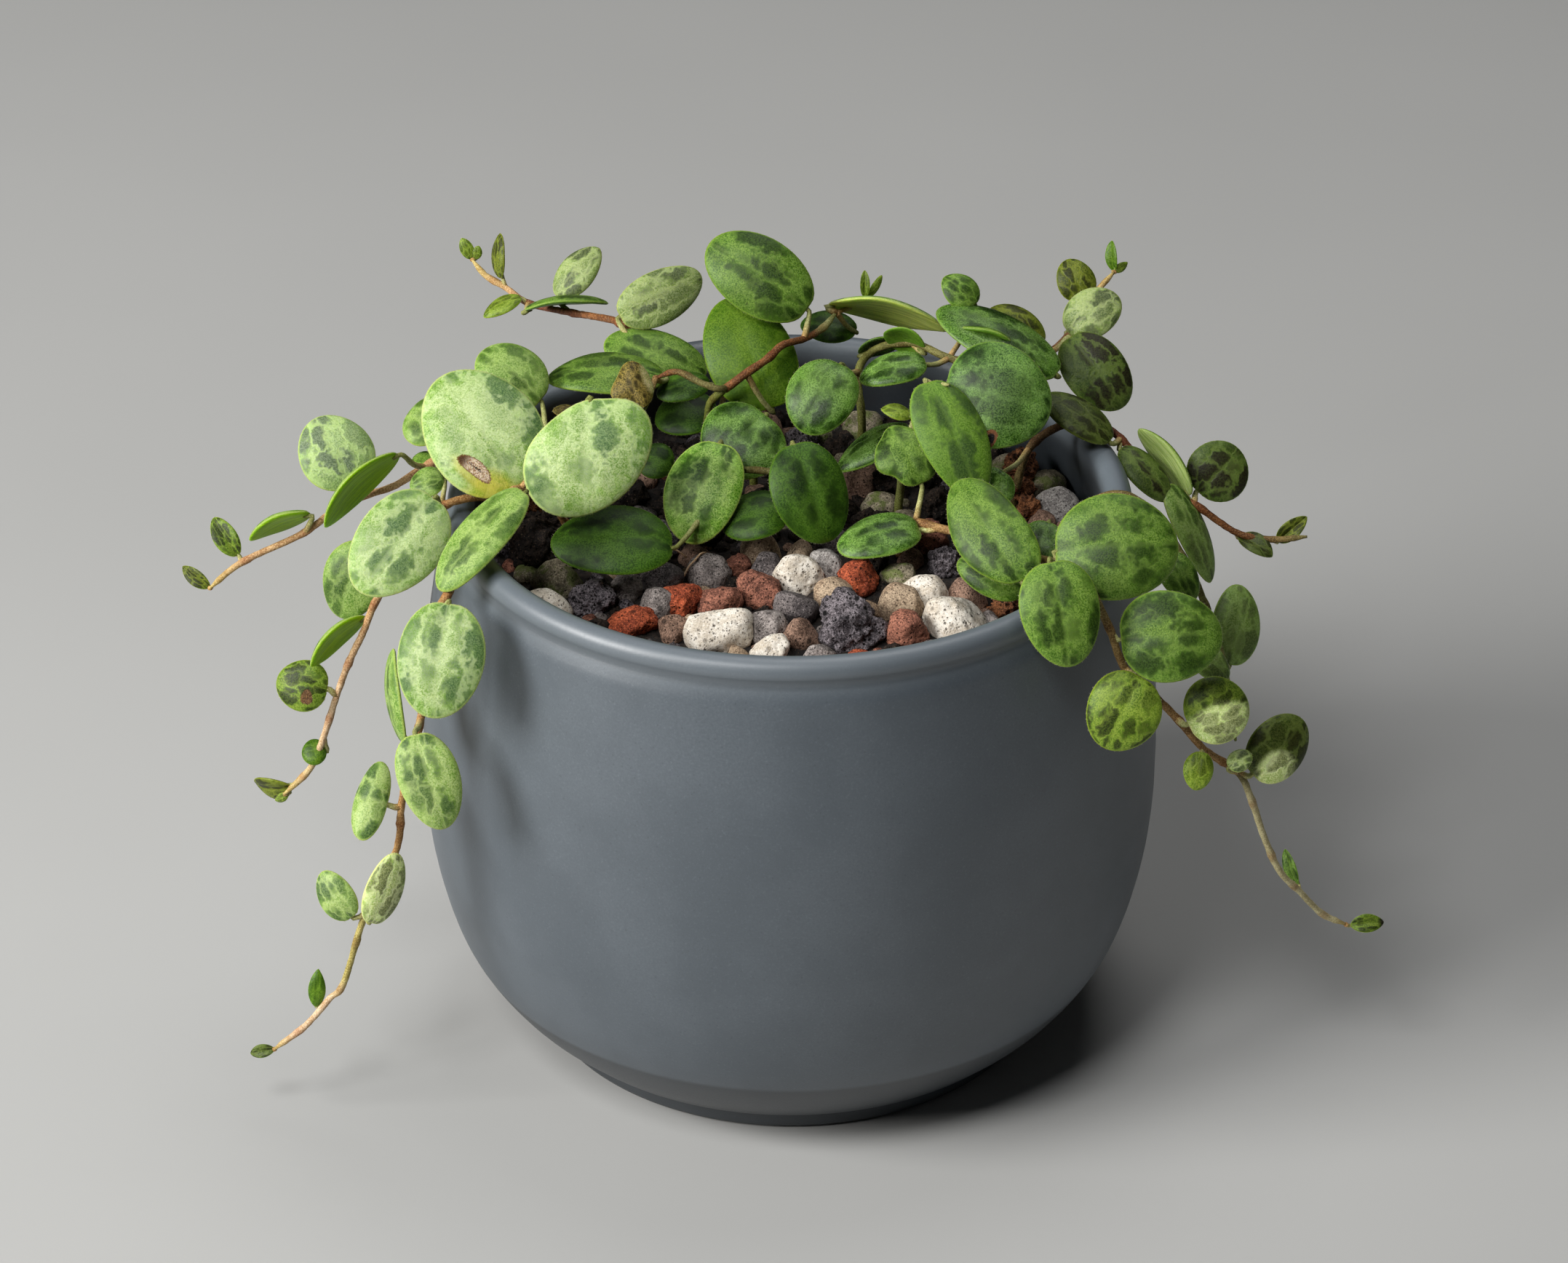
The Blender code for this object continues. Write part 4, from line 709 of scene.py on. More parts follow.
def leaf_material():
    """Leaf skin: grainy dark blotches in rows between pale veins, on a stippled blade with painted sheen in
    pale cloud patches.
    """
    g = Graph("leaf")
    aside, ahead, rim = g.split(g.attribute("leaf_map")[1])
    _, style, gloss = g.attribute("leaf_style")
    soft, plain, painted_sheen_and_wash = g.split(style)
    blade, _, strength = g.attribute("leaf_blade")
    blotch, _, seed = g.attribute("leaf_blotch")
    vein, _, top = g.attribute("leaf_vein")
    grain = g.noise(4.6, 3.0, 0.75)
    bend = g.split(g.noise(0.7, 2.0, 0.6, output=1))
    cell = g.join(bend[0] * 1.1 - 0.55 + aside, bend[1] * 1.1 - 0.55 + ahead, seed)
    # blotches: a little smaller towards the rim, each of its own size, with a grainy border
    chance = g.split(g.voronoi(1.0, cell, 0.7, "Color"))
    limit = rim ** 4.0 * -0.12 + g.noise(0.3, 2.0) * 0.7 + chance[0] * 0.3 - soft * 0.9 + 0.14
    depth = (grain - 0.5) * (soft * 3.6 + 0.45) + limit - g.voronoi(1.0, cell, 0.7)
    patch = g.step(depth, soft * -1.0, soft) * g.step(chance[1], 0.05, 0.4, 0.25, 1.0)
    patch = patch * strength * g.step(rim, 0.99, 0.95)
    # stipple of dark and pale grains over all
    stipple = g.step(grain, 0.4, 0.6)
    skin = g.mix(stipple, g.tint(blade, 0.58, 0.7, 0.42), g.mix(0.68, blade, vein))
    # painted sheen: pale cloud patches lightened towards the vein colour
    pale = g.step(g.noise(0.22, 1.0), 0.42, 0.66) * painted_sheen_and_wash * (stipple * 0.4 + 0.4)
    skin = g.mix(pale, skin, g.mix(0.75, skin, vein))
    wash = g.step(bend[2] * 1.2 - 0.6 + rim, 0.58, 0.98, 0.0, 0.75) * painted_sheen_and_wash
    skin = g.mix(wash, skin, g.tint(skin, 0.62, 0.82, 0.34))
    dark = g.mix(stipple, g.tint(blotch, 0.7, 0.78, 0.6), g.mix(0.3, blotch, blade))
    # pale veins between the blotches, the midrib and the pale edge
    net = g.step(g.voronoi(1.0, cell, 0.7, feature="DISTANCE_TO_EDGE"), 0.17, 0.02) * (plain * 0.8 + 0.1)
    net = g.math("MAXIMUM", net, g.step(abs(aside), 0.2, 0.03) * (plain * 0.35 + 0.15))
    upper = g.mix(patch, skin, dark)
    upper = g.mix(net, upper, g.mix(0.75, upper, vein))
    upper = g.mix(g.step(rim, 0.955, 0.995, 0.0, 0.6), upper, g.tint(vein, 0.95, 0.92, 0.6))
    # the lower side is plain, with faint streaks along the blade
    streak = g.noise(1.0, 3.0, 0.6, g.join(aside * 4.5, ahead * 0.7, seed))
    lower = g.mix(g.step(streak, 0.42, 0.6), g.tint(blade, 0.6, 0.68, 0.46), blade)
    shown = g.mix(top, g.mix(stipple * 0.3, lower, vein), upper)
    # marks: a tan scab with a crack in a one-sided yellow ring, a hole in a brown ring, a brown blotch
    x, y, kind = g.split(g.attribute("leaf_spot")[1])
    uneven = grain * 0.5 - 0.25
    bent = y * y * 0.3 + x
    away = g.reach(bent, y) + uneven
    ring = g.reach(x + 0.75, y + 0.2) + uneven
    scabby, bitten = g.math("LESS_THAN", kind, 0.5), g.math("COMPARE", kind, 1.0, 0.4)
    shown = g.mix(g.step(ring, 1.7, 0.9, 0.0, 0.5) * scabby, shown, (208, 196, 84))
    scab = g.mix(g.step(grain, 0.4, 0.56), (150, 112, 78), (226, 208, 182))
    scab = g.mix(g.step(grain * 0.9 + y, 0.7, 1.25), scab, (78, 50, 22))
    crack = g.step(abs(grain * 1.2 - 0.6 + bent), 0.12, 0.04) * g.step(away, 0.45, 0.3)
    scab = g.mix(crack, scab, (22, 12, 8))
    scab = g.mix(g.step(away, 0.84, 1.0, 0.0, 0.9), scab, (118, 74, 34))
    hole = g.mix(g.step(away, 0.5, 0.7), (6, 4, 2), (112, 70, 40))
    brown = g.mix(stipple, (84, 56, 30), (132, 98, 62))
    marked = g.step(away, 1.06, 0.96)
    shown = g.mix(marked, shown, g.mix(scabby, g.mix(bitten, brown, hole), scab))
    relief = net * -0.9 + grain * 0.9 + marked * (grain * 4.0 - 3.0)
    roughness = grain * 0.3 + 0.33 - gloss * 0.2
    return g.finish(shown, roughness, g.bump(relief, 0.06, 0.85), Specular_IOR_Level=0.24,
                    Subsurface_Weight=0.3, Subsurface_Radius=(0.9, 1.3, 0.15), Subsurface_Scale=0.001)


def stem_material():
    """Stem skin: streaked and speckled along its length."""
    g = Graph("stem")
    light, dark = g.attribute("stem_light")[0], g.attribute("stem_dark")[0]
    grain = g.noise(4.5, 3.0, 0.65)
    colour = g.mix(g.step(grain * 0.7 + g.noise(0.5, 2.0) * 0.3, 0.4, 0.62), dark, light)
    pale = g.step(g.noise(7.0, 1.0), 0.62, 0.75, 0.0, 0.6)
    colour = g.mix(pale, colour, g.mix(0.5, light, (225, 205, 160)))
    return g.finish(colour, 0.62, g.bump(grain, 0.16, 0.8), Specular_IOR_Level=0.25)


def hair_material():
    g = Graph("hair")
    return g.finish(g.mix(g.noise(2.0, 1.0), (196, 196, 150), (222, 218, 190)), 0.6)


def stone_material(kind):
    body, shade, pore, size, share, relief = STONE_LOOKS[kind]
    g = Graph("stone_" + kind)
    cloud, grain = g.noise(0.45, 3.0, 0.6), g.noise(4.0, 3.0, 0.8)
    rare = g.step(g.voronoi(0.4) - grain * 0.3, 0.0, -0.05)
    hole = g.math("MAXIMUM", g.step(g.voronoi(1 / size), 0.2 + 0.25 * share, 0.06),
                  g.step(g.voronoi(2.3 / size), 0.32, 0.1) * 0.7)
    hole = g.math("MAXIMUM", hole * g.step(cloud, 0.36, 0.5, 0.25, 1.0), rare * (share + 0.3))
    colour = g.mix(g.step(cloud, 0.38, 0.64), shade, body)
    dark, light = tuple(c * 0.42 for c in shade), tuple(min(250, c * 1.3 + 12) for c in body)
    colour = g.mix(g.step(grain, 0.49, 0.39, 0.0, 0.25 + 0.8 * share), colour, dark)
    colour = g.mix(g.step(grain, 0.54, 0.64, 0.0, 0.3 + 0.35 * share), colour, light)
    colour = g.mix(hole * 0.92, colour, pore)
    if kind == "mossy":
        colour = g.mix(g.step(g.noise(0.3, 4.0, 0.7), 0.5, 0.62, 0.0, 0.75), colour, (84, 100, 34))
    if kind == "peat":
        colour = g.mix(g.step(g.voronoi(1.6), 0.2, 0.12, 0.0, 0.4), colour, (120, 100, 82))
    return g.finish(colour, 0.86, g.bump(grain * 0.35 - hole, relief, 0.9), Specular_IOR_Level=0.25)


def glaze_material():
    """Satin slate glaze with a fine speckle and faint clouding, a painted highlight up the lip, and painted
    shade in the mouth and low on the outside.
    """
    g = Graph("glaze")
    speck, cloud = g.noise(3.4, 2.0, 0.6), g.noise(0.06, 3.0, 0.55)
    colour = g.mix(g.step(cloud, 0.35, 0.65), (75, 83, 90), (83, 91, 98))
    colour = g.mix(g.step(speck, 0.58, 0.36, 0.0, 0.3), colour, (66, 73, 80))
    colour = g.mix(g.step(speck, 0.6, 0.74, 0.0, 0.35), colour, (106, 114, 121))
    colour = g.mix(g.step(g.voronoi(0.9), 0.16, 0.06, 0.0, 0.4), colour, (56, 62, 68))
    x, y, z = g.split(g.place)
    # painted highlight: the glaze is lightened towards pale grey up the lip
    colour = g.mix(g.step(z, *LIP_HIGHLIGHT_HEIGHTS, 0.0, 0.45), colour, (112, 120, 126))
    # painted shade: darker in and down the mouth, and by the same mask low on the outside where the wall
    # narrows to the foot
    inside = g.step(g.reach(x, y), *MOUTH_SHADE_RADII) * g.step(z, *MOUTH_SHADE_HEIGHTS)
    colour = g.mix(inside, colour, g.tint(colour, 0.4, 0.4, 0.4))
    relief = g.bump(speck + cloud * 6.0, 0.03, 0.35)
    return g.finish(colour, speck * 0.14 + 0.38, relief, Specular_IOR_Level=0.8)


def soil_material():
    g = Graph("soil")
    crumb, fleck = g.noise(1.1, 4.0, 0.7), g.voronoi(0.9)
    colour = g.mix(g.step(crumb, 0.4, 0.65), (16, 12, 10), (48, 38, 31))
    colour = g.mix(g.step(fleck, 0.16, 0.08, 0.0, 0.6), colour, (104, 84, 66))
    return g.finish(colour, 0.95, g.bump(crumb - g.step(fleck, 0.2, 0.05), 0.5))


# ---- pot ----

def build_pot():
    """Rings of the turned, glazed skin, closed on the axis inside the pot and under its foot."""
    lip = [(LIP_MIDDLE_RADIUS + LIP_RADIUS * math.cos(a), RIM_TOP - LIP_RADIUS + LIP_RADIUS * math.sin(a))
           for a in [math.pi - LIP_TURN * k / LIP_STEPS for k in range(LIP_STEPS + 1)]]
    widest = max(r for r, _ in OUTER_WALL)
    outer = [(min(r, widest), z) for r, z in wall_curve(OUTER_WALL, 1.5)]
    floor = [(FLOOR_RADIUS, INNER_WALL[0][1])]
    profile = floor + wall_curve(INNER_WALL, 3.0) + lip + outer + FOOT + [(FLOOR_RADIUS, 0.0)]
    angles = np.arange(POT_STEPS) * math.tau / POT_STEPS
    points = [(r * math.cos(a), r * math.sin(a), z) for r, z in profile for a in angles]
    shape = Shape()
    shape.add(points + [(0, 0, profile[0][1]), (0, 0, 0.0)], ring_faces(len(profile), POT_STEPS))
    shape.build("pot_glazed", glaze_material(), "pot", "pot")


# ---- grit ----

def ball(level):
    """Directions and faces of a fine ball."""
    shape = bmesh.new()
    bmesh.ops.create_icosphere(shape, subdivisions=level, radius=1.0)
    directions = np.array([v.co.normalized() for v in shape.verts])
    faces = [tuple(v.index for v in f.verts) for f in shape.faces]
    shape.free()
    return directions, faces


def stone_points(directions, middle, size, kind, draw):
    """A stone: rounded facets, lumps, and open pores where the kind has them."""
    facets = unit(np.array([gauss(draw) for _ in range(STONE_FACETS)]))
    reach = np.array([draw.uniform(*FACET_REACH) for _ in facets])
    slope = np.maximum(directions @ facets.T, 0.12)
    hardness, lumpy, holes, depth, wide = STONE_SHAPES.get(kind, STONE_SHAPES["grey"])
    radius = ((reach / slope) ** -hardness).sum(1) ** (-1 / hardness)
    radius = np.minimum(radius / radius.mean(), STONE_WIDEST)
    offset = Vector([draw.uniform(0, 90) for _ in range(3)])
    lumps = np.array([noise.fractal(Vector(d) * LUMPS_A_STONE + offset, 0.8, 2.1, 5) for d in directions])
    radius = radius * (1 + lumpy * lumps)
    spots = unit(np.array([gauss(draw) for _ in range(holes)]))
    widths = np.array([draw.uniform(*PORE_WIDTHS) * wide for _ in spots])
    near = np.arccos(np.clip(directions @ spots.T, -1, 1)) / widths
    radius = radius - depth * np.clip(1 - near ** 2, 0, 1).max(1) ** 0.7
    stretch = np.array([draw.uniform(*span) for span in STONE_STRETCH])
    turn = Euler([draw.uniform(*span) for span in STONE_TURN]).to_matrix()
    points = directions * (radius * size / 2)[:, None] * stretch
    return points @ np.array(turn).T + np.array(middle)


def drawn_place(size, wall_share, draw):
    """A random place on the bed, clear of the wall."""
    distance = (inner_radius(BED_TOP) - size * wall_share) * math.sqrt(draw.random())
    angle = draw.uniform(0, math.tau)
    return distance * math.cos(angle), distance * math.sin(angle)


def filler_places(draw):
    """Stones of the CAD that are out of plain view."""
    places = [(x, y, size) for x, y, size, _ in STONES]
    for _ in range(STONE_TRIES):
        size = draw.uniform(*STONE_SIZES)
        x, y = drawn_place(size, STONE_WALL_SHARE, draw)
        if all(math.hypot(x - a, y - b) > STONE_SPACING * (size + s) / 2 for a, b, s in places):
            places.append((x, y, size))
    return places[len(STONES):]


def grain_places(taken, draw):
    """Small grains that fill the gaps between the stones."""
    places = []
    for size in [draw.uniform(least, most) for least, most, tries in GRAIN_SIZES for _ in range(tries)]:
        x, y = drawn_place(size, GRAIN_WALL_SHARE, draw)
        into = 0.0 if size > SMALL_GRAIN else SMALL_GRAIN_SINK
        clear = all(math.hypot(x - a, y - b) > (0.5 - into) * s + (0.46 - 2 * into) * size
                    for a, b, s in taken)
        if clear and all(math.hypot(x - a, y - b) > 0.44 * (size + s) for a, b, s in places):
            places.append((x, y, size))
    return places


def build_grit():
    balls = {level: ball(level) for level in (5, 4, 3)}
    shapes = {kind: Shape() for kind in STONE_LOOKS}
    draw = random.Random(SHAPE_SEED)

    def lay(place, size, kinds, index, level):
        """One stone or grain, of a kind that follows from its index."""
        kind = kinds[index % len(kinds)]
        directions, faces = balls[level]
        shapes[kind].add(stone_points(directions, place, size, kind, draw), faces)

    for x, y, size, kind in STONES:
        lay((x, y, BED_TOP + STONE_LIFT * size), size * STONE_CLOSENESS, [kind], 0, 5)
    fillers = filler_places(random.Random(STONE_SEED))
    for index, (x, y, size) in enumerate(fillers):
        kinds = FILLER_KINDS if y < LEAF_SHADE_Y else SHADE_AND_SOIL_KINDS
        lay((x, y, BED_TOP + STONE_LIFT * size), size * STONE_CLOSENESS, kinds, index, 4)
    taken = [(x, y, size) for x, y, size, _ in STONES] + fillers
    for index, (x, y, size) in enumerate(grain_places(taken, random.Random(GRAIN_SEED))):
        kinds = GRAIN_KINDS if y < LEAF_SHADE_Y else SHADE_AND_SOIL_KINDS
        level = 4 if size > SMALL_GRAIN else 3
        lay((x, y, BED_TOP - GRAIN_SINK + GRAIN_LIFT * size), size, kinds, index, level)
    for x, y, z, size, kind in LUMPS:
        lay((x, y, z), size, [kind], 0, 5)
    for kind, shape in shapes.items():
        shape.build("stones_" + kind, stone_material(kind), "grit")


def build_bed():
    """The crumbly bed that the stones are sunk in."""
    radius, skirt = inner_radius(BED_TOP), inner_radius(BED_BOTTOM)
    angles = [math.tau * k / BED_STEPS for k in range(BED_STEPS)]
    points = []
    for row in range(1, BED_ROWS + 1):
        for a in angles:
            x, y = radius * row / BED_ROWS * math.cos(a), radius * row / BED_ROWS * math.sin(a)
            lift = CRUMB_HEIGHT * noise.fractal(Vector((x, y, 3)) * CRUMB_SCALE, 0.8, 2.0, 4)
            points.append((x, y, BED_TOP + (lift if row < BED_ROWS else 0)))
    points += [(skirt * math.cos(a), skirt * math.sin(a), BED_BOTTOM) for a in angles]
    shape = Shape()
    shape.add(points + [(0, 0, BED_TOP), (0, 0, BED_BOTTOM)], ring_faces(BED_ROWS + 1, BED_STEPS))
    shape.build("grit_bed", soil_material(), "grit", "grit")


# ---- plant ----

def around(turns, values):
    """Smooth closed curve through values at even turns."""
    place = turns / math.tau * len(values)
    index = np.floor(place).astype(int)
    return spline(*[np.array(values)[(index + k) % len(values)] for k in (-1, 0, 1, 2)], place - index)


def leaf_frame(leaf):
    """Base, length and the along, across and face directions of a leaf."""
    base, tip = np.array(leaf[0], float), np.array(leaf[1], float)
    length = np.linalg.norm(tip - base)
    along = (tip - base) / length
    a, e = math.radians(leaf[3][0]), math.radians(leaf[3][1])
    face = np.array([math.sin(a) * math.cos(e), -math.cos(a) * math.cos(e), math.sin(e)])
    face = face - along * (face @ along)
    face /= np.linalg.norm(face)
    return base, length, along, np.cross(along, face), face


def leaf_height(leaf, length, ahead, scale):
    """Height of the blade's middle over the line from base to tip."""
    return BLADE_DOME * leaf[2] * (1 - scale ** 2) - BLADE_ARCH * length * ahead ** 2


def add_blade(shape, leaf, seed):
    """One leaf blade: domed, arched and a little wavy, with a full rounded edge."""
    width, look, point = leaf[2], leaf[4], leaf[5]
    extra = leaf[6] if len(leaf) > 6 else {}
    base, length, along, across, face = leaf_frame(leaf)
    draw = random.Random(seed)
    small = length < SMALL_BLADE
    half = min(SMALL_BLADE_HALF if small else BLADE_HALF, 0.1 * width)
    count = SMALL_BLADE_POINTS if small else BLADE_POINTS
    turns = np.arange(count) * math.tau / count
    phases = [draw.uniform(0, math.tau) for _ in range(5)]
    wave = 1 + RIM_WAVES[0] * np.cos(2 * turns + phases[0]) + RIM_WAVES[1] * np.cos(3 * turns + phases[1])
    wave -= NOTCH_DEPTH * np.exp(-(np.minimum(turns, math.tau - turns) / NOTCH_WIDTH) ** 2)
    wave = wave * around(turns, extra.get("outline", [1.0] * 8))
    ripple = extra.get("ripple", RIPPLE) * width * draw.uniform(0.6, 1.3)
    blade, blotch, vein, strength, cells_across, cells_along, soft, plain, painted_sheen_and_wash, gloss = LOOKS[look]

    def row(scale, side):
        ahead = -np.cos(turns) * scale * wave
        sine = np.sin(turns)
        aside = np.sign(sine) * np.abs(sine) ** (1 + point) * scale * wave * (1 - BLADE_TAPER * ahead)
        aside = aside + extra.get("lean", 0.0) * ahead
        height = leaf_height(leaf, length, ahead, scale)
        height += ripple * scale ** 2 * np.cos(3 * turns + phases[2]) * 0.7
        height += ripple * scale ** 3 * np.cos(5 * turns + phases[3]) * 0.35
        groove = np.exp(-(aside / GROOVE_WIDTH) ** 2) * np.clip(0.55 - 0.5 * ahead, 0, 1) * (1 - scale ** 6)
        height -= GROOVE_DEPTH * width * groove * (side > 0)
        height += extra.get("fold", 0.0) * width / 2 * (np.abs(aside) - 0.3)
        height += side * half * math.sqrt(max(0.0, 1 - scale ** 5))
        place = (base + np.outer(0.5 + 0.5 * ahead, along) * length
                 + np.outer(aside, across) * width / 2 + np.outer(height, face))
        x, y = aside / 2, 0.5 + 0.5 * ahead
        below, above = y + VEINS_START, VEINS_END - y
        turn = np.arctan2(x, below) + np.arctan2(x, above)
        rise = np.log(np.hypot(x, below) / np.hypot(x, above))
        veins = np.stack([turn / VEINS_TURN * cells_across, rise / VEINS_RISE * cells_along,
                          np.full(count, scale)], 1)
        return place, veins, np.stack([x, y], 1)

    rows = [row(s, 1) for s in RINGS] + [row(1.0, 0)] + [row(s, -1) for s in RINGS[::-1]]
    centre = [row(0.0, s) for s in (1, -1)]
    points, veins, marks = [np.concatenate([r[k] for r in rows] + [c[k][:1] for c in centre])
                            for k in range(3)]
    upper = np.concatenate([np.full(count * (len(RINGS) + 1), 1.0), np.zeros(count * len(RINGS)), [1.0, 0.0]])

    def from_mark(x, y):
        return (marks[:, 0] - x) * width, (marks[:, 1] - y) * length

    spots = np.full((len(points), 3), NO_MARK)
    if "mark" in extra:
        x, y, reach_x, reach_y, turn, kind = extra["mark"]
        over, up = from_mark(x, y)
        c, s = math.cos(math.radians(turn)), math.sin(math.radians(turn))
        spots = np.stack([(over * c + up * s) / reach_x, (up * c - over * s) / reach_y,
                          np.full(len(over), kind)], 1)
        spots[upper < 0.5] = NO_MARK
    share, other = np.zeros((len(points), 1)), LOOKS[UPPER_LOOKS.get(look, look)]
    if "second" in extra:
        second, x, y, reach, blur = (*extra["second"], SECOND_BORDER)[:5]
        share = np.clip((reach - np.hypot(*from_mark(x, y))) / blur + 0.5, 0, 1)[:, None]
        other = LOOKS[second]
    if look in UPPER_LOOKS:
        share = upper[:, None]
    strength = strength * (1 - share) + other[3] * share
    tint = draw.uniform(0.96, 1.04)
    mixed = [np.array(linear([c * tint for c in one])[:3]) * (1 - share) + np.array(linear(two)[:3]) * share
             for one, two in zip((blade, blotch, vein), other)]
    seeds = np.full((len(points), 1), draw.randint(1, 60) + 0.5)
    shape.add(points, ring_faces(len(rows), count), leaf_map=veins, leaf_spot=spots,
              leaf_style=(soft, plain, painted_sheen_and_wash, gloss), leaf_blade=np.hstack([mixed[0], strength]),
              leaf_blotch=np.hstack([mixed[1], seeds]), leaf_vein=np.hstack([mixed[2], upper[:, None]]))
    return rows[len(RINGS)][0], points[:count * len(RINGS)].mean(0), face


def add_hairs(shape, hairs):
    """Fine hairs from (root, way, length), each a slim three-sided spike."""
    roots, ways, lengths = [np.array(part) for part in zip(*hairs)]
    ways = unit(ways)
    side = unit(np.cross(ways, (0.31, 0.57, 0.76)))
    other = np.cross(ways, side)
    corners = [roots + HAIR_RADIUS * (side * math.cos(a) + other * math.sin(a)) for a in (0.0, 2.1, 4.2)]
    points = np.stack(corners + [roots + ways * lengths[:, None]], 1).reshape(-1, 3)
    faces = []
    for k in range(0, len(points), 4):
        faces += [(k, k + 1, k + 3), (k + 1, k + 2, k + 3), (k + 2, k, k + 3), (k, k + 2, k + 1)]
    shape.add(points, faces)


def rim_hairs(shape, rim, middle, face, seed):
    """Short hairs all along the rim of a leaf."""
    draw = random.Random(seed)
    hairs = []
    for a, b in zip(rim, np.roll(rim, -1, 0)):
        for _ in range(max(1, round(np.linalg.norm(b - a) / HAIR_SPACING))):
            root = a + (b - a) * draw.random()
            out = (root - middle) / np.linalg.norm(root - middle)
            way = out + face * draw.uniform(-0.3, 0.7) + np.array(gauss(draw, 0.3))
            hairs.append((root - out * 0.05, way, draw.uniform(*RIM_HAIRS)))
    add_hairs(shape, hairs)


def stem_hairs(shape, route, radii, seed):
    """Short hairs all round a stem."""
    draw = random.Random(seed)
    hairs = []
    for point, radius in zip(route, radii):
        for _ in range(HAIRS_A_RING):
            way = Vector(gauss(draw)).normalized()
            length = draw.uniform(*STEM_HAIRS) * 1.2 * STEM_RADIUS
            hairs.append((tuple(point + way * radius * 0.7), tuple(way), length))
    add_hairs(shape, hairs)


def add_tube(shape, points, radii, tones, sides=STEM_SIDES):
    """A closed tube; tones gives the light and dark colours at each point."""
    rings, side = [], None
    for i, point in enumerate(points):
        along = (points[min(i + 1, len(points) - 1)] - points[max(i - 1, 0)]).normalized()
        if side is None:
            side = along.orthogonal().normalized()
        side = (side - along * side.dot(along)).normalized()
        other = along.cross(side)
        turns = [math.tau * k / sides for k in range(sides)]
        ring = [point + radii[i] * (side * math.cos(a) + other * math.sin(a)) for a in turns]
        rings += [tuple(p + (p - point) * BARK_ROUGHNESS * noise.noise(p * BARK_GRAIN)) for p in ring]
    faces, end = [], len(rings) - sides
    for row in range(0, end, sides):
        for k in range(sides):
            n = (k + 1) % sides
            faces.append((row + k, row + n, row + sides + n, row + sides + k))
    faces += [tuple(range(sides))[::-1], tuple(range(end, end + sides))]
    light, dark = [np.repeat(np.array([t[which] for t in tones]), sides, 0) for which in (0, 1)]
    shape.add(rings, faces, stem_light=light, stem_dark=dark)


def stem_tones(marks, count):
    """Light and dark stem colours for each point, from (share of the way, tone) marks."""
    ways, places = np.linspace(0, 1, count), [place for place, _ in marks]
    sides = []
    for which in (0, 1):
        colours = np.array([linear(STEM_TONES[tone][which]) for _, tone in marks])
        sides.append(np.stack([np.interp(ways, places, colours[:, k]) for k in range(4)], 1))
    return np.stack(sides, 1)


def stem_radii(route, seed):
    """Radii that thin to the tip, with swollen nodes, and how far into a node each point is."""
    draw = random.Random(seed)
    radii, knots, since, gap = [], [], 0.0, draw.uniform(*NODE_GAP)
    for i, point in enumerate(route):
        if i:
            since += (point - route[i - 1]).length
        if since > gap + NODE_REACH:
            since, gap = 0.0, draw.uniform(*NODE_GAP)
        knot = max(0.0, 1 - abs(since - gap) / NODE_REACH)
        radius = STEM_RADIUS + (STEM_TIP_RADIUS - STEM_RADIUS) * i / (len(route) - 1)
        radius = radius + NODE_SWELL * knot + STEM_UNEVEN * noise.noise(point * 0.9)
        radii.append(radius * min(1.0, 0.4 + 0.2 * (len(route) - 1 - i)))
        knots.append(knot)
    return radii, np.array(knots)[:, None, None]


def add_stem(stems, hairs, route, marks, seed):
    radii, knots = stem_radii(route, seed)
    tones = stem_tones(marks, len(route))
    knotty = tones * np.array(linear(NODE_TINT))
    add_tube(stems, route, radii, tones * (1 - 0.6 * knots) + knotty * 0.6 * knots)
    stem_hairs(hairs, route, radii, seed)


def add_petiole(shape, stem, leaf):
    """A stalk from the stem into the back of the blade at its base."""
    base, length, along, _, face = leaf_frame(leaf)
    sunk = []
    for inset, drop in PETIOLE_ENDS:
        height = leaf_height(leaf, length, 2 * inset / length - 1, 1 - 2 * inset / length)
        sunk.append(Vector(base + along * inset + face * (height - drop)))
    base = Vector(base)
    free = [p for p in stem if p.z > PETIOLE_LOWEST or p.xy.length > LIP_MIDDLE_RADIUS]
    start = min(free, key=lambda p: (p - base).length)
    middle = (start + sunk[0]) / 2 - Vector((0, 0, PETIOLE_SAG * (base - start).length))
    points = curve_through([start, middle] + sunk, STEM_SPACING)
    count = len(points)
    size = min(1.0, 0.55 + leaf[2] / 16)
    radii = [PETIOLE_RADIUS * size * (1.15 - 0.45 * i / count) for i in range(count)]
    add_tube(shape, points, radii, stem_tones(PETIOLE_TONES, count), PETIOLE_SIDES)


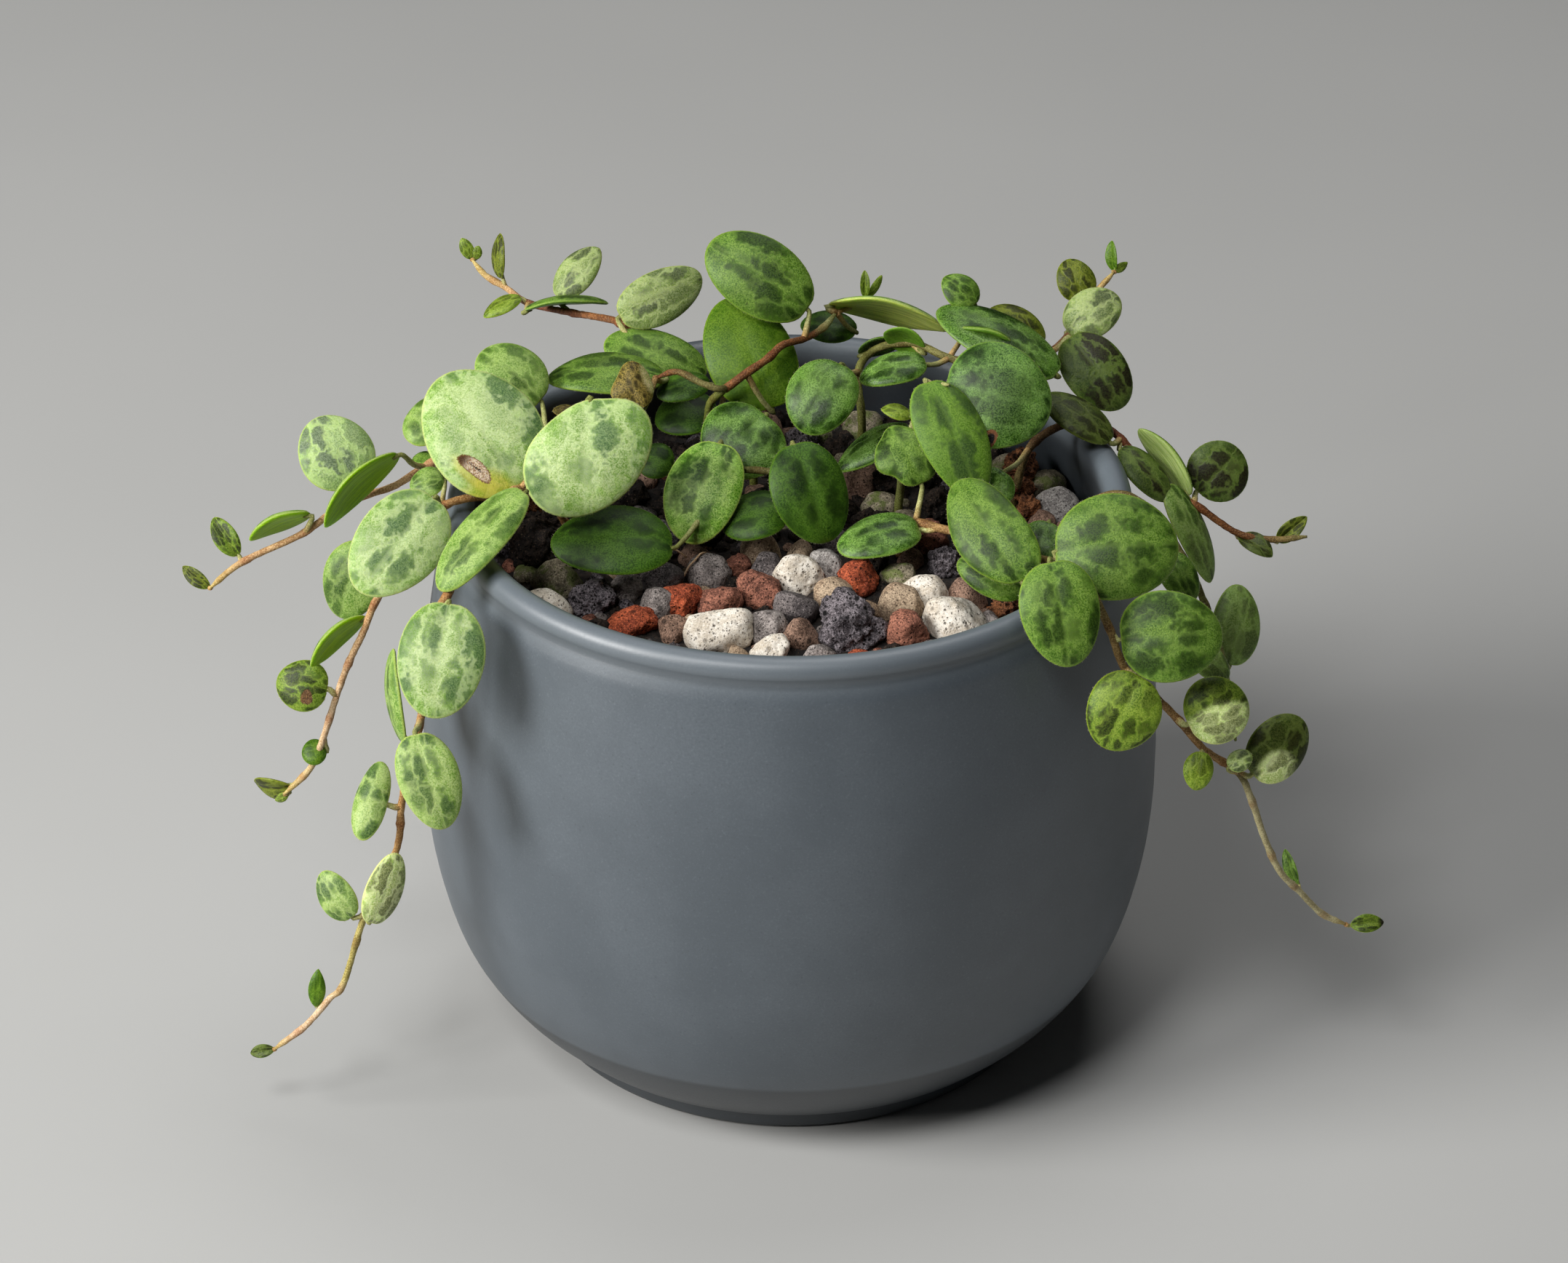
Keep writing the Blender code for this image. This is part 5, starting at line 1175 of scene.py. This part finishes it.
def build_vine(name, vine, skin, bark, hairs):
    leaves, stems = Shape(), Shape()
    first = Vector(vine["route"][0])
    root = curve_through([(first.x, first.y, ROOT_START), tuple(first)], ROOT_SPACING)[:-1]
    add_stem(stems, hairs, root + curve_through(vine["route"], STEM_SPACING), vine["tones"], name)
    coarse = curve_through(vine["route"], COARSE_SPACING)
    if "branch" in vine:
        add_stem(stems, hairs, curve_through(vine["branch"], STEM_SPACING), vine["branch_tones"], name + "b")
        coarse += curve_through(vine["branch"], COARSE_SPACING)
    for index, leaf in enumerate(vine["leaves"]):
        rim, middle, face = add_blade(leaves, leaf, name + str(index))
        rim_hairs(hairs, rim, middle, face, name + str(index))
        add_petiole(stems, coarse, leaf)
    leaves.build(name + "_leaves", skin, "plant")
    stems.build(name + "_stem", bark, "plant", name)


def build_plant():
    skin, bark, hairs, threads = leaf_material(), stem_material(), Shape(), Shape()
    for name, vine in VINES.items():
        build_vine(name, vine, skin, bark, hairs)
    hairs.build("hairs", hair_material(), "plant")
    for route in ROOTLETS:
        points = curve_through(route, ROOTLET_SPACING)
        tones = stem_tones(((0, "cream"), (1, "cream")), len(points))
        add_tube(threads, points, [ROOTLET_RADIUS] * len(points), tones, 6)
    threads.build("rootlets", bark, "plant")


# ---- studio ----

def build_camera():
    data = bpy.data.cameras.new("camera")
    data.sensor_width = SENSOR_WIDTH
    data.lens = FOCAL_PIXELS / PHOTO_WIDTH * SENSOR_WIDTH
    data.clip_start, data.clip_end = 0.05, 20.0
    made = link("camera", data)
    made.location = CAMERA_PLACE
    made.rotation_euler = (math.radians(CAMERA_TILT), 0.0, 0.0)
    bpy.context.scene.camera = made


def build_studio():
    bpy.context.scene.view_settings.view_transform = "Standard"
    for name, place, target, size, power, colour in LIGHTS:
        data = bpy.data.lights.new(name, "AREA")
        data.shape = "DISK"
        data.size, data.energy, data.color = size, power, colour
        made = link(name, data)
        made.location = place
        made.rotation_euler = (Vector(target) - Vector(place)).to_track_quat("-Z", "Y").to_euler()
    world = bpy.data.worlds.new("studio")
    world.use_nodes = True
    background = world.node_tree.nodes["Background"]
    background.inputs[0].default_value, background.inputs[1].default_value = WORLD_COLOUR, WORLD_POWER
    bpy.context.scene.world = world
    bpy.ops.mesh.primitive_plane_add(size=FLOOR_SIZE, location=(0, 0, -FLOOR_GAP))
    floor = bpy.context.object
    floor.name = "floor"
    g = Graph("floor")
    g.finish(g.mix(g.noise(0.01, 2.0), *FLOOR_TONES), 0.7)
    floor.data.materials.append(g.material)


build_camera()
build_studio()
build_pot()
build_bed()
build_grit()
build_plant()
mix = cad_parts["potting_mix"]
mix.data.materials.clear()
mix.data.materials.append(soil_material())
